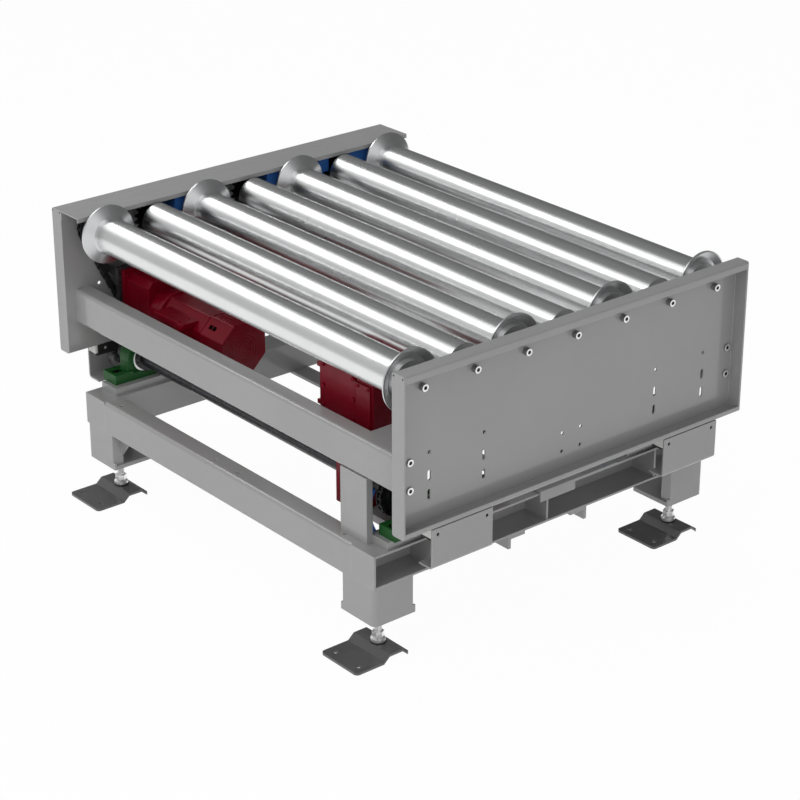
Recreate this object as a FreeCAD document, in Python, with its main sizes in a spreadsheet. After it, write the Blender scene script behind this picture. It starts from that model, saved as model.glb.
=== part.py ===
"""Right-angle transfer conveyor: a powered roller deck on a lifting base frame.

X runs along the rollers, +X towards the front side channel. Y is the conveying direction. Z is up from the floor.
The origin lies on the floor under the middle of the roller deck.
"""

import FreeCAD, Part
import math
import os

import Sketcher
from FreeCAD import Vector

doc = FreeCAD.newDocument("RollerTransfer")
sheet = doc.addObject("Spreadsheet::Sheet", "Dimensions")


class Size:
    """A length that carries its value and the spreadsheet expression that gives it."""

    def __init__(self, value, text):
        self.value = float(value)
        self.text = text

    def __add__(self, other):
        other = as_size(other)
        return Size(self.value + other.value, f"({self.text} + {other.text})")

    def __sub__(self, other):
        other = as_size(other)
        return Size(self.value - other.value, f"({self.text} - {other.text})")

    def __mul__(self, other):
        other = as_size(other)
        return Size(self.value * other.value, f"({self.text} * {other.text})")

    def __truediv__(self, other):
        other = as_size(other)
        return Size(self.value / other.value, f"({self.text} / {other.text})")

    def __neg__(self):
        return Size(-self.value, f"(0 - {self.text})")

    def __radd__(self, other):
        return as_size(other) + self

    def __rsub__(self, other):
        return as_size(other) - self

    def __rmul__(self, other):
        return as_size(other) * self


def as_size(number):
    """Turns a plain number into a Size and leaves a Size as it is."""
    if isinstance(number, Size):
        return number
    return Size(number, f"({number:.6f})")


def sine(angle):
    """The sine of an angle in degrees."""
    angle = as_size(angle)
    return Size(math.sin(math.radians(angle.value)), f"sin({angle.text})")


def cosine(angle):
    """The cosine of an angle in degrees."""
    angle = as_size(angle)
    return Size(math.cos(math.radians(angle.value)), f"cos({angle.text})")


def dimension(name, value):
    """Writes one driving dimension to the spreadsheet and returns it."""
    dimension.row += 1
    sheet.set(f"A{dimension.row}", name)
    sheet.set(f"B{dimension.row}", str(value))
    sheet.setAlias(f"B{dimension.row}", name)
    return Size(value, f"Dimensions.{name}")


dimension.row = 0

# Deck side channels
deck_width = dimension("deck_width", 1318.0)
deck_end_margin = dimension("deck_end_margin", 75.5)
channel_height = dimension("channel_height", 372.0)
channel_rise = dimension("channel_rise", 51.5)
channel_depth = dimension("channel_depth", 38.5)
sheet_wall = dimension("sheet_wall", 4.0)
top_lip = dimension("top_lip", 18.0)
bottom_lip = dimension("bottom_lip", 13.0)
bend_radius = dimension("bend_radius", 5.5)
cover_width = dimension("cover_width", 74.0)
cover_wall = dimension("cover_wall", 2.5)
cover_lip = dimension("cover_lip", 11.0)
cover_flange = dimension("cover_flange", 22.0)

# Holes in the channel webs
group_outer_inset = dimension("group_outer_inset", 97.5)
group_inner_inset = dimension("group_inner_inset", 250.5)
group_hole_drop = dimension("group_hole_drop", 156.5)
slot_upper_drop = dimension("slot_upper_drop", 210.0)
slot_lower_drop = dimension("slot_lower_drop", 254.5)
slot_width = dimension("slot_width", 9.0)
slot_length = dimension("slot_length", 24.0)
centre_hole_half = dimension("centre_hole_half", 27.5)
centre_hole_upper = dimension("centre_hole_upper", 228.0)
centre_hole_lower = dimension("centre_hole_lower", 272.5)
web_hole = dimension("web_hole", 9.0)

# Cross beams of the deck
near_beam_width = dimension("near_beam_width", 42.0)
far_beam_width = dimension("far_beam_width", 56.0)
end_plate_length = dimension("end_plate_length", 149.5)
end_plate_width = dimension("end_plate_width", 58.0)
beam_drop = dimension("beam_drop", 157.0)
beam_height = dimension("beam_height", 88.0)
beam_wall = dimension("beam_wall", 4.0)
near_beam_inset = dimension("near_beam_inset", 27.5)
far_beam_inset = dimension("far_beam_inset", 4.5)
beam_screw_inset = dimension("beam_screw_inset", 16.0)
beam_plate = dimension("beam_plate", 10.0)
beam_screw_upper = dimension("beam_screw_upper", 164.5)
beam_screw_lower = dimension("beam_screw_lower", 229.7)

# Rollers
roller_axis_height = dimension("roller_axis_height", 666.0)
roller_pitch = dimension("roller_pitch", 144.0)
roller_diameter = dimension("roller_diameter", 89.0)
roller_wall = dimension("roller_wall", 3.0)
front_gap = dimension("front_gap", 31.5)
rear_gap = dimension("rear_gap", 84.5)
flange_diameter = dimension("flange_diameter", 145.0)
flange_rim = dimension("flange_rim", 4.0)
flange_cone = dimension("flange_cone", 19.0)
axle_diameter = dimension("axle_diameter", 20.0)
bearing_diameter = dimension("bearing_diameter", 47.0)
bearing_width = dimension("bearing_width", 14.0)
cap_length = dimension("cap_length", 18.0)
hub_diameter = dimension("hub_diameter", 50.0)
running_fit = dimension("running_fit", 0.1)
screw_head_diameter = dimension("screw_head_diameter", 20.0)
screw_head_length = dimension("screw_head_length", 13.0)
screw_diameter = dimension("screw_diameter", 12.0)
screw_socket = dimension("screw_socket", 10.0)
screw_reach = dimension("screw_reach", 26.0)

# Chains and sprockets
chain_pitch = dimension("chain_pitch", 15.875)
sprocket_teeth = dimension("sprocket_teeth", 14)
sprocket_width = dimension("sprocket_width", 9.0)
chain_inner = dimension("chain_inner", 10.0)
chain_plate = dimension("chain_plate", 2.0)
chain_plate_height = dimension("chain_plate_height", 14.0)
transfer_chain_offset = dimension("transfer_chain_offset", 45.5)
drive_chain_offset = dimension("drive_chain_offset", 22.5)
guide_gap = dimension("guide_gap", 1.0)
guide_arm = dimension("guide_arm", 22.0)
guide_top = dimension("guide_top", 36.0)
guide_thickness = dimension("guide_thickness", 9.0)

# Gearmotor that drives the rollers
drive_gap = dimension("drive_gap", 53.0)
drive_axis_drop = dimension("drive_axis_drop", 191.0)
drive_box_width = dimension("drive_box_width", 100.0)
drive_box_height = dimension("drive_box_height", 158.0)
drive_box_length = dimension("drive_box_length", 107.0)
drive_box_corner = dimension("drive_box_corner", 14.0)
drive_rim = dimension("drive_rim", 6.0)
drive_adaptor_length = dimension("drive_adaptor_length", 56.0)
drive_adaptor_size = dimension("drive_adaptor_size", 104.0)
drive_flange_length = dimension("drive_flange_length", 12.0)
drive_flange_size = dimension("drive_flange_size", 126.0)
drive_motor_size = dimension("drive_motor_size", 114.0)
drive_motor_length = dimension("drive_motor_length", 170.0)
drive_cowl_size = dimension("drive_cowl_size", 124.0)
drive_cowl_length = dimension("drive_cowl_length", 87.0)
drive_terminal_start = dimension("drive_terminal_start", 20.0)
drive_terminal_length = dimension("drive_terminal_length", 112.0)
drive_terminal_depth = dimension("drive_terminal_depth", 25.0)
drive_lid_height = dimension("drive_lid_height", 14.0)
drive_lid_edge = dimension("drive_lid_edge", 4.0)
drive_standoff = dimension("drive_standoff", 60.0)
drive_plate_wall = dimension("drive_plate_wall", 12.0)
drive_shaft_diameter = dimension("drive_shaft_diameter", 30.0)
motor_corner = dimension("motor_corner", 6.0)
motor_seam = dimension("motor_seam", 8.0)

# Base frame
base_inset = dimension("base_inset", 101.0)
base_end_inset = dimension("base_end_inset", 2.0)
deck_gap = dimension("deck_gap", 80.0)
base_height = dimension("base_height", 80.0)
base_wall = dimension("base_wall", 5.0)
member_depth = dimension("member_depth", 80.0)
end_beam_depth = dimension("end_beam_depth", 50.0)
rib_along = dimension("rib_along", 342.0)
leg_width = dimension("leg_width", 108.0)
leg_clearance = dimension("leg_clearance", 94.0)
leg_wall = dimension("leg_wall", 5.0)
leg_return = dimension("leg_return", 30.0)
leg_corner = dimension("leg_corner", 12.0)
leg_foot_height = dimension("leg_foot_height", 18.0)
leg_foot_spread = dimension("leg_foot_spread", 7.0)
rail_along = dimension("rail_along", 120.0)
rail_height = dimension("rail_height", 31.0)
rail_width = dimension("rail_width", 50.0)
rail_wall = dimension("rail_wall", 8.0)

# Lifting gear
block_gap = dimension("block_gap", 13.0)
shaft_diameter = dimension("shaft_diameter", 40.0)
spacer_wall = dimension("spacer_wall", 18.0)
block_axis_height = dimension("block_axis_height", 49.2)
block_length = dimension("block_length", 184.0)
block_width = dimension("block_width", 54.0)
block_foot = dimension("block_foot", 19.0)
block_pad = dimension("block_pad", 25.0)
block_slot_width = dimension("block_slot_width", 22.0)
block_slot_length = dimension("block_slot_length", 34.0)
block_slot_depth = dimension("block_slot_depth", 14.0)
block_head = dimension("block_head", 96.0)
block_inset = dimension("block_inset", 24.0)
block_bolts_span = dimension("block_bolts_span", 137.0)
insert_diameter = dimension("insert_diameter", 72.0)
crank_throw = dimension("crank_throw", 43.0)
crank_wall = dimension("crank_wall", 15.0)
crank_roller_diameter = dimension("crank_roller_diameter", 40.0)
crank_roller_width = dimension("crank_roller_width", 24.0)
crank_pin_diameter = dimension("crank_pin_diameter", 20.0)
guide_shift = dimension("guide_shift", 13.0)
guide_length = dimension("guide_length", 170.0)
guide_height = dimension("guide_height", 95.0)
guide_lip = dimension("guide_lip", 43.0)
guide_wall = dimension("guide_wall", 4.0)
strip_block_height = dimension("strip_block_height", 21.5)
strip_layer = dimension("strip_layer", 4.5)
strip_notch = dimension("strip_notch", 6.3)
strip_hole_inset = dimension("strip_hole_inset", 27.7)
post_inset = dimension("post_inset", 100.5)
post_width = dimension("post_width", 89.0)
post_depth = dimension("post_depth", 17.0)
post_wall = dimension("post_wall", 5.0)
lift_sprocket_teeth = dimension("lift_sprocket_teeth", 18)
lift_chain_inset = dimension("lift_chain_inset", 103.0)
guard_width = dimension("guard_width", 24.0)
guard_reach = dimension("guard_reach", 105.0)
guard_radius = dimension("guard_radius", 98.0)
guard_rise = dimension("guard_rise", 48.0)
spacer_width = dimension("spacer_width", 62.0)
spacer_inset = dimension("spacer_inset", 38.0)
spacer_length = dimension("spacer_length", 208.0)
lift_box_inset = dimension("lift_box_inset", 220.0)
lift_box_width = dimension("lift_box_width", 184.0)
lift_box_depth = dimension("lift_box_depth", 98.0)
lift_box_gap = dimension("lift_box_gap", 17.5)
lift_box_step_rise = dimension("lift_box_step_rise", 141.3)
lift_box_corner = dimension("lift_box_corner", 10.0)
lift_groove = dimension("lift_groove", 7.0)
lift_groove_shift = dimension("lift_groove_shift", 31.5)
lift_housing_width = dimension("lift_housing_width", 78.0)
lift_housing_reach = dimension("lift_housing_reach", 64.0)
lift_motor_shift = dimension("lift_motor_shift", 24.0)
lift_motor_rise = dimension("lift_motor_rise", 71.3)
lift_motor_size = dimension("lift_motor_size", 130.0)
lift_motor_length = dimension("lift_motor_length", 190.0)
lift_cowl_size = dimension("lift_cowl_size", 138.0)
lift_cowl_length = dimension("lift_cowl_length", 80.0)
lift_adaptor_length = dimension("lift_adaptor_length", 40.0)
lift_terminal_length = dimension("lift_terminal_length", 114.0)
lift_terminal_depth = dimension("lift_terminal_depth", 40.0)
lift_terminal_height = dimension("lift_terminal_height", 56.0)
arm_bar_width = dimension("arm_bar_width", 50.0)
arm_bar_wall = dimension("arm_bar_wall", 18.0)

# Levelling feet
foot_plate_width = dimension("foot_plate_width", 125.0)
foot_plate_length = dimension("foot_plate_length", 150.0)
foot_plate_wall = dimension("foot_plate_wall", 6.0)
foot_ridge_top = dimension("foot_ridge_top", 36.0)
foot_ridge_ramp = dimension("foot_ridge_ramp", 16.0)
foot_ridge_height = dimension("foot_ridge_height", 14.0)
foot_heel = dimension("foot_heel", 39.0)
foot_hole = dimension("foot_hole", 12.0)
spindle_diameter = dimension("spindle_diameter", 16.0)
spindle_share = dimension("spindle_share", 0.72)

doc.recompute()

ROLLER_COUNT = 7
FLANGED_ROLLERS = (1, 3, 5, 7)
# roller before each guide, shift of its arm from the middle of the gap, and both ends of its keeper from there
GUIDE_SPANS = ((2, 11, -15, 15), (4, 8, -19, 20), (5, 20, -11, 21), (6, -6, -38, 38))
# inset, drop and diameter of the holes in the plates that enclose the crank rollers
PLATE_HOLE = (16, 14, 8)
# setback of the ribs of the base members from their open side
RIB_SETBACK = 3
# share of a motor's size that each corner of its octagon cuts off
OCTAGON_CUT = 0.29

# Derived places
axis_z = roller_axis_height
deck_length = roller_pitch * (ROLLER_COUNT - 1) + 2 * deck_end_margin
lip_plane = deck_width / 2
web_plane = lip_plane - channel_depth
deck_end = deck_length / 2
channel_top = axis_z + channel_rise
channel_bottom = channel_top - channel_height
beam_top = axis_z - beam_drop
beam_bottom = beam_top - beam_height
front_end = web_plane - front_gap
rear_end = -web_plane + rear_gap
pitch_radius = chain_pitch / (2 * sine(180 / sprocket_teeth.value))
base_half = lip_plane - base_inset
base_end = deck_end - base_end_inset
base_top = channel_bottom - deck_gap
base_bottom = base_top - base_height
leg_bottom = leg_clearance
leg_height = base_bottom - leg_bottom
shaft_z = base_top + spacer_wall + block_axis_height
shaft_along = deck_end - near_beam_inset - post_depth - block_gap - block_length / 2
block_across = base_half - block_inset
spacer_across = base_half - spacer_inset
lift_chain_across = base_half - lift_chain_inset
guide_along = shaft_along - guide_shift
group_outer = deck_end - group_outer_inset
group_inner = deck_end - group_inner_inset
transfer_chain_x = -web_plane + transfer_chain_offset
drive_chain_x = -web_plane + drive_chain_offset
drive_z = axis_z - drive_axis_drop
drive_axis_along = -deck_end + near_beam_inset + near_beam_width + drive_gap + drive_box_width / 2

nodes = {}


def bind(item, prop, size):
    """Sets a property from a size, as an expression of the spreadsheet."""
    item.setExpression(prop, as_size(size).text)


def keep(label, item):
    """Gives a finished sub-part its label, which names its file."""
    item.Label = label
    nodes[label] = item
    return item


def new_body(name, y=0, z=0, x=0):
    """A body whose own origin stands at the given place."""
    body = doc.addObject("PartDesign::Body", name)
    for prop, size in (("x", x), ("y", y), ("z", z)):
        bind(body, f"Placement.Base.{prop}", size)
    return body


ROLES = {"x": "YZ_Plane", "y": "XZ_Plane", "z": "XY_Plane"}


def new_sketch(body, axis, start=0):
    """A sketch square to an axis of the body, at the given place along that axis."""
    sketch = body.newObject("Sketcher::SketchObject", "Sketch")
    plane = [f for f in body.Origin.OriginFeatures if f.Role == ROLES[axis]][0]
    sketch.AttachmentSupport = [(plane, "")]
    sketch.MapMode = "FlatFace"
    start = as_size(start)
    bind(sketch, "AttachmentOffset.Base.z", -start if axis == "y" else start)
    return sketch


def lock(sketch, geometry, point, across, along):
    """Holds one point of a sketch at a place given by two sizes."""
    for kind, size in (("DistanceX", as_size(across)), ("DistanceY", as_size(along))):
        index = sketch.addConstraint(Sketcher.Constraint(kind, geometry, point, size.value))
        name = f"place_{index}"
        sketch.renameConstraint(index, name)
        sketch.setExpression(f"Constraints.{name}", size.text)


def add_polygon(sketch, points):
    """Draws a closed outline through the given points."""
    first = len(sketch.Geometry)
    points = [(as_size(a), as_size(b)) for a, b in points]
    ends = points[1:] + points[:1]
    for (a, b), (c, d) in zip(points, ends):
        line = Part.LineSegment(Vector(a.value, b.value, 0), Vector(c.value, d.value, 0))
        sketch.addGeometry(line, False)
    count = len(points)
    for k in range(count):
        following = first + (k + 1) % count
        sketch.addConstraint(Sketcher.Constraint("Coincident", first + k, 2, following, 1))
    for k, (a, b) in enumerate(points):
        lock(sketch, first + k, 1, a, b)


def add_circle(sketch, across, along, diameter):
    """Draws a circle."""
    across, along, diameter = as_size(across), as_size(along), as_size(diameter)
    centre = Vector(across.value, along.value, 0)
    index = sketch.addGeometry(Part.Circle(centre, Vector(0, 0, 1), diameter.value / 2), False)
    lock(sketch, index, 3, across, along)
    constraint = sketch.addConstraint(Sketcher.Constraint("Diameter", index, diameter.value))
    name = f"diameter_{constraint}"
    sketch.renameConstraint(constraint, name)
    sketch.setExpression(f"Constraints.{name}", diameter.text)


def rectangle(a0, a1, b0, b1):
    """The corners of a rectangle."""
    return [(a0, b0), (a1, b0), (a1, b1), (a0, b1)]


def octagon(a, b, size, corner):
    """The corners of a square with cut corners, about a centre."""
    half = as_size(size) / 2
    flat = half - corner
    signs = [(1, -1, 1, 0), (1, 1, 1, 0), (1, 1, 0, 1), (-1, 1, 0, 1)]
    signs += [(-1, 1, 1, 0), (-1, -1, 1, 0), (-1, -1, 0, 1), (1, -1, 0, 1)]
    points = []
    for sign_a, sign_b, full_a, full_b in signs:
        reach_a = half if full_a else flat
        reach_b = half if full_b else flat
        points.append((a + sign_a * reach_a, b + sign_b * reach_b))
    return points


def sweep_feature(body, kind, sketch, length, forward):
    """A pad or a pocket of a sketch by a length."""
    feature = body.newObject(kind, kind.split("::")[1])
    feature.Profile = sketch
    bind(feature, "Length", length)
    feature.Reversed = not forward
    return feature


def pad(body, axis, start, end, outline=None, circles=()):
    """Adds the prism of an outline between two places along an axis."""
    sketch = new_sketch(body, axis, start)
    if outline:
        add_polygon(sketch, outline)
    for circle in circles:
        add_circle(sketch, *circle)
    length = as_size(end) - start
    return sweep_feature(body, "PartDesign::Pad", sketch, length, axis != "y")


def pocket(body, axis, start, end, outlines=(), circles=()):
    """Cuts prisms out of a body between two places along an axis, and makes sure that something was cut."""
    doc.recompute()
    before = body.Shape.Volume
    sketch = new_sketch(body, axis, start)
    for outline in outlines:
        add_polygon(sketch, outline)
    for circle in circles:
        add_circle(sketch, *circle)
    length = as_size(end) - start
    feature = sweep_feature(body, "PartDesign::Pocket", sketch, length, axis == "y")
    doc.recompute()
    if body.Shape.Volume >= before:
        raise ValueError(f"a pocket of {body.Name} cuts nothing")
    return feature


def revolve(name, outline, y=0, z=0, x=0, axis="x"):
    """A body of revolution about X or Z from an outline of places along the axis and radii."""
    body = new_body(name, y, z, x)
    sketch = new_sketch(body, "y")
    if axis == "x":
        add_polygon(sketch, outline)
    else:
        add_polygon(sketch, [(radius, place) for place, radius in outline])
    feature = body.newObject("PartDesign::Revolution", "Revolution")
    feature.Profile = sketch
    feature.ReferenceAxis = (sketch, ["H_Axis" if axis == "x" else "V_Axis"])
    feature.Angle = 360
    return body


def ring(name, start, end, outer, inner, y=0, z=0):
    """A plain ring about an axis along X, from its outer and inner diameters."""
    outer, inner = as_size(outer), as_size(inner)
    return revolve(name, rectangle(start, end, inner / 2, outer / 2), y, z)


def rod(name, start, end, diameter, y=0, z=0):
    """A plain rod along X."""
    return revolve(name, rectangle(start, end, 0, as_size(diameter) / 2), y, z)


def edges_along(shape, direction, test):
    """Names the straight edges along a direction whose middle passes a test."""
    names = []
    for number, edge in enumerate(shape.Edges, 1):
        if edge.Curve.TypeId != "Part::GeomLine":
            continue
        tangent = edge.tangentAt(edge.FirstParameter)
        middle = edge.valueAt((edge.FirstParameter + edge.LastParameter) / 2)
        if abs(abs(tangent.dot(direction)) - 1) < 1e-6 and test(middle):
            names.append(f"Edge{number}")
    return names


def round_edges(body, direction, radius, test):
    """Rounds the edges of a body along a direction that pass a test."""
    doc.recompute()
    base = body.Tip
    names = edges_along(base.Shape, direction, test)
    if not names:
        raise ValueError(f"no edge of {body.Name} to round")
    feature = body.newObject("PartDesign::Fillet", "Fillet")
    feature.Base = (base, names)
    bind(feature, "Radius", radius)
    return feature


def group(label, items):
    """Several separate solids of one kind, kept together as one node."""
    compound = doc.addObject("Part::Compound", label)
    compound.Links = items
    return keep(label, compound)


ALONG_X = Vector(1, 0, 0)
ALONG_Y = Vector(0, 1, 0)
ALONG_Z = Vector(0, 0, 1)


def roller_place(number):
    """Where a roller stands along the conveying direction, the middle one at zero."""
    return roller_pitch * (number - (ROLLER_COUNT + 1) / 2)


def side_channel(label, side):
    """A side of the deck: a sheet bent into a tray that opens outwards, with its holes."""
    body = new_body(label)
    web, lip = side * web_plane, side * lip_plane
    inner_web = side * (web_plane + sheet_wall)
    inner_lip = side * (lip_plane - sheet_wall)
    top, bottom = channel_top, channel_bottom
    section = [
        (web, bottom),
        (lip, bottom),
        (lip, bottom + bottom_lip),
        (inner_lip, bottom + bottom_lip),
        (inner_lip, bottom + sheet_wall),
        (inner_web, bottom + sheet_wall),
        (inner_web, top - sheet_wall),
        (inner_lip, top - sheet_wall),
        (inner_lip, top - top_lip),
        (lip, top - top_lip),
        (lip, top),
        (web, top),
    ]
    pad(body, "y", -deck_end, deck_end, section)
    wall = rectangle(web, lip, bottom, top)
    pad(body, "y", -deck_end, -deck_end + sheet_wall, wall)
    pad(body, "y", deck_end - sheet_wall, deck_end, wall)
    axle_holes = [
        (roller_place(n), axis_z, screw_diameter + 2 * running_fit) for n in range(1, ROLLER_COUNT + 1)
    ]
    beam_holes = []
    for place in (-deck_end + near_beam_inset + beam_screw_inset, deck_end - far_beam_inset - beam_screw_inset):
        for drop in (beam_screw_upper, beam_screw_lower):
            beam_holes.append((place, axis_z - drop, screw_diameter + 2 * running_fit))
    group_places = [-group_outer, -group_inner, group_inner, group_outer]
    group_holes = [(place, axis_z - group_hole_drop, web_hole) for place in group_places]
    for place in (-centre_hole_half, centre_hole_half):
        for drop in (centre_hole_upper, centre_hole_lower):
            group_holes.append((place, axis_z - drop, web_hole))
    near, far = (web_plane - 1, web_plane + sheet_wall + 1) if side > 0 else (
        -web_plane - sheet_wall - 1, -web_plane + 1)
    pocket(body, "x", near, far, circles=axle_holes + beam_holes + group_holes)
    slots, slot_ends = [], []
    straight = (slot_length - slot_width) / 2
    for place in group_places:
        for drop in (slot_upper_drop, slot_lower_drop):
            height = axis_z - drop
            slots.append(
                rectangle(place - slot_width / 2, place + slot_width / 2, height - straight, height + straight)
            )
            for end in (height - straight, height + straight):
                slot_ends.append((place, end, slot_width))
    pocket(body, "x", near, far, outlines=slots)
    pocket(body, "x", near, far, circles=slot_ends)
    corners = (bottom.value, top.value)
    reach = (web.value, lip.value)
    round_edges(
        body,
        ALONG_Y,
        bend_radius,
        lambda p: min(abs(p.z - c) for c in corners) < 0.01 and min(abs(p.x - r) for r in reach) < 0.01,
    )
    return keep(label, body)


def chain_cover():
    """The cover over the sprockets: hung from the rear web, with a small lip on its inner edge."""
    body = new_body("chain_cover")
    start = -web_plane
    end = start + cover_width
    top = channel_top
    section = [
        (start, top),
        (start, top - cover_flange),
        (start + cover_wall, top - cover_flange),
        (start + cover_wall, top - cover_wall),
        (end - cover_wall, top - cover_wall),
        (end - cover_wall, top - cover_lip),
        (end, top - cover_lip),
        (end, top),
    ]
    pad(body, "y", -deck_end, deck_end, section)
    return keep("chain_cover", body)


def cross_beam(label, outer_face, inward, beam_width, end_plate=False):
    """A bent channel across the deck, its back to the end of the deck, closed by plates for the screws."""
    body = new_body(label)
    back = outer_face
    inner_back = back + inward * beam_wall
    front = back + inward * beam_width
    top, bottom = beam_top, beam_bottom
    section = [
        (back, bottom),
        (front, bottom),
        (front, bottom + beam_wall),
        (inner_back, bottom + beam_wall),
        (inner_back, top - beam_wall),
        (front, top - beam_wall),
        (front, top),
        (back, top),
    ]
    pad(body, "x", -web_plane, web_plane, section)
    plate = rectangle(back, back + inward * (beam_width - beam_wall), bottom, top)
    pad(body, "x", -web_plane, -web_plane + beam_plate, plate)
    pad(body, "x", web_plane - beam_plate, web_plane, plate)
    screws = [
        (back + inward * beam_screw_inset, axis_z - drop, screw_diameter + 2 * running_fit)
        for drop in (beam_screw_upper, beam_screw_lower)
    ]
    pocket(body, "x", -web_plane - 1, -web_plane + beam_plate, circles=screws)
    pocket(body, "x", web_plane - beam_plate, web_plane + 1, circles=screws)
    if end_plate:
        finish = web_plane - sheet_wall
        shelf = rectangle(finish - end_plate_length, finish, front - beam_wall, front + end_plate_width)
        pad(body, "z", top - beam_wall, top, shelf)
    round_edges(
        body,
        ALONG_X,
        beam_wall + bend_radius,
        lambda p: abs(p.y - back.value) < 0.01,
    )
    return keep(label, body)


def screw(name, side, y, z, reach):
    """A socket-head screw whose head stands on a channel web and whose shank points inwards."""
    seat = web_plane + sheet_wall
    head_end = seat + screw_head_length
    tip = web_plane - reach
    socket_floor = head_end - screw_head_length / 2
    outline = [
        (side * tip, 0),
        (side * tip, screw_diameter / 2),
        (side * seat, screw_diameter / 2),
        (side * seat, screw_head_diameter / 2),
        (side * head_end, screw_head_diameter / 2),
        (side * head_end, screw_socket / 2),
        (side * socket_floor, screw_socket / 2),
        (side * socket_floor, 0),
    ]
    return revolve(name, outline, y, z)


def deck_screws():
    """The screws through both webs, into the roller axles and the cross beams."""
    places = [(roller_place(number), axis_z, screw_reach) for number in range(1, ROLLER_COUNT + 1)]
    for place in (-deck_end + near_beam_inset + beam_screw_inset, deck_end - far_beam_inset - beam_screw_inset):
        for drop in (beam_screw_upper, beam_screw_lower):
            places.append((place, axis_z - drop, beam_plate))
    screws = []
    for y, z, reach in places:
        for side in (1, -1):
            screws.append(screw("DeckScrew", side, y, z, reach))
    return group("deck_screws", screws)


def roller_axles():
    """The fixed axles, bored at both ends for their screws."""
    axles = []
    bore = screw_diameter / 2 + running_fit
    depth = screw_reach + 4
    for number in range(1, ROLLER_COUNT + 1):
        outline = [
            (-web_plane, bore),
            (-web_plane, axle_diameter / 2),
            (web_plane, axle_diameter / 2),
            (web_plane, bore),
            (web_plane - depth, bore),
            (web_plane - depth, 0),
            (-web_plane + depth, 0),
            (-web_plane + depth, bore),
        ]
        axles.append(revolve("Axle", outline, roller_place(number), axis_z))
    return group("roller_axles", axles)


def roller_bearings():
    """The ball bearings on the axles, inside the ends of each roller."""
    bearings = []
    rear = rear_end + (cap_length - bearing_width) / 2
    front = front_end - cap_length + (cap_length - bearing_width) / 2
    for number in range(1, ROLLER_COUNT + 1):
        for start in (rear, front):
            bearings.append(
                ring("Bearing", start, start + bearing_width, bearing_diameter, axle_diameter, roller_place(number), axis_z)
            )
    return group("roller_bearings", bearings)


def sprocket_body(name, x, y, z, teeth, hub_start, hub_end, hub, bore):
    """A sprocket: a hub, a toothed disc with its middle at a place on the axis, and a bore."""
    radius = chain_pitch / (2 * sine(180 / teeth.value))
    root = radius - 0.32 * chain_pitch
    tip = radius + 0.2 * chain_pitch
    body = new_body(name, y, z)
    pad(body, "x", hub_start, hub_end, circles=[(0, 0, hub)])
    start, end = x - sprocket_width / 2, x + sprocket_width / 2
    pad(body, "x", start, end, circles=[(0, 0, 2 * root)])
    half_root, half_tip = 0.3 * chain_pitch, 0.12 * chain_pitch
    tooth = [
        (-half_root, root - 0.1 * chain_pitch),
        (half_root, root - 0.1 * chain_pitch),
        (half_tip, tip),
        (-half_tip, tip),
    ]
    tooth_pad = pad(body, "x", start, end, tooth)
    pattern = body.newObject("PartDesign::PolarPattern", "Teeth")
    pattern.Originals = [tooth_pad]
    pattern.Axis = ([f for f in body.Origin.OriginFeatures if f.Role == "X_Axis"][0], [""])
    pattern.Angle = 360
    bind(pattern, "Occurrences", teeth)
    body.Tip = pattern
    pocket(body, "x", hub_start - 1, hub_end + 1, circles=[(0, 0, bore)])
    return body


def roller(number):
    """One roller: the tube, its front cap with the bearing seat, and the sprocket head welded in its rear end."""
    y = roller_place(number)
    inner = roller_diameter - 2 * roller_wall
    seat = bearing_diameter + 2 * running_fit
    shaft_hole = axle_diameter + 6
    tube = ring("Tube", rear_end, front_end, roller_diameter, inner, y, axis_z)
    cap_start = front_end - cap_length
    cap = ring("Cap", cap_start, front_end, inner, seat, y, axis_z)
    plug = ring("Plug", rear_end, rear_end + cap_length, inner, seat, y, axis_z)
    hub_end = rear_end
    hub_start = -web_plane + drive_chain_offset - sprocket_width
    if number == 1:
        head_teeth = (transfer_chain_x, drive_chain_x)
    else:
        head_teeth = (transfer_chain_x,)
        hub_start = transfer_chain_x - sprocket_width
    head = sprocket_body(
        "Head", head_teeth[0], y, axis_z, sprocket_teeth, hub_start, hub_end, hub_diameter, shaft_hole
    )
    pieces = [tube, cap, plug, head]
    if number == 1:
        second = sprocket_body(
            "Drive",
            head_teeth[1],
            y,
            axis_z,
            sprocket_teeth,
            drive_chain_x - sprocket_width / 2,
            drive_chain_x + sprocket_width / 2,
            hub_diameter + 2,
            hub_diameter,
        )
        pieces.append(second)
    return group(f"roller_{number}", pieces)


def roller_flanges(number):
    """The two guide flanges of a roller: cones with a bevelled rim and a dished back."""
    y = roller_place(number)
    tube = roller_diameter / 2
    rim = flange_diameter / 2
    dish = (rim - tube) / 3
    flanges = []
    for outer, inward in ((front_end, -1), (rear_end, 1)):
        outline = [
            (outer + inward * (flange_cone + 2), tube),
            (outer + inward * (flange_cone - 3), tube + 3),
            (outer + inward * (flange_rim + 2), rim - 4),
            (outer + inward * flange_rim, rim),
            (outer, rim),
            (outer, rim - 3),
            (outer + inward * (flange_rim + 4), tube + dish),
            (outer + inward * (flange_rim + 4), tube),
        ]
        flanges.append(revolve("Flange", outline, y, axis_z))
    return group(f"roller_flanges_{number}", flanges)


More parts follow.
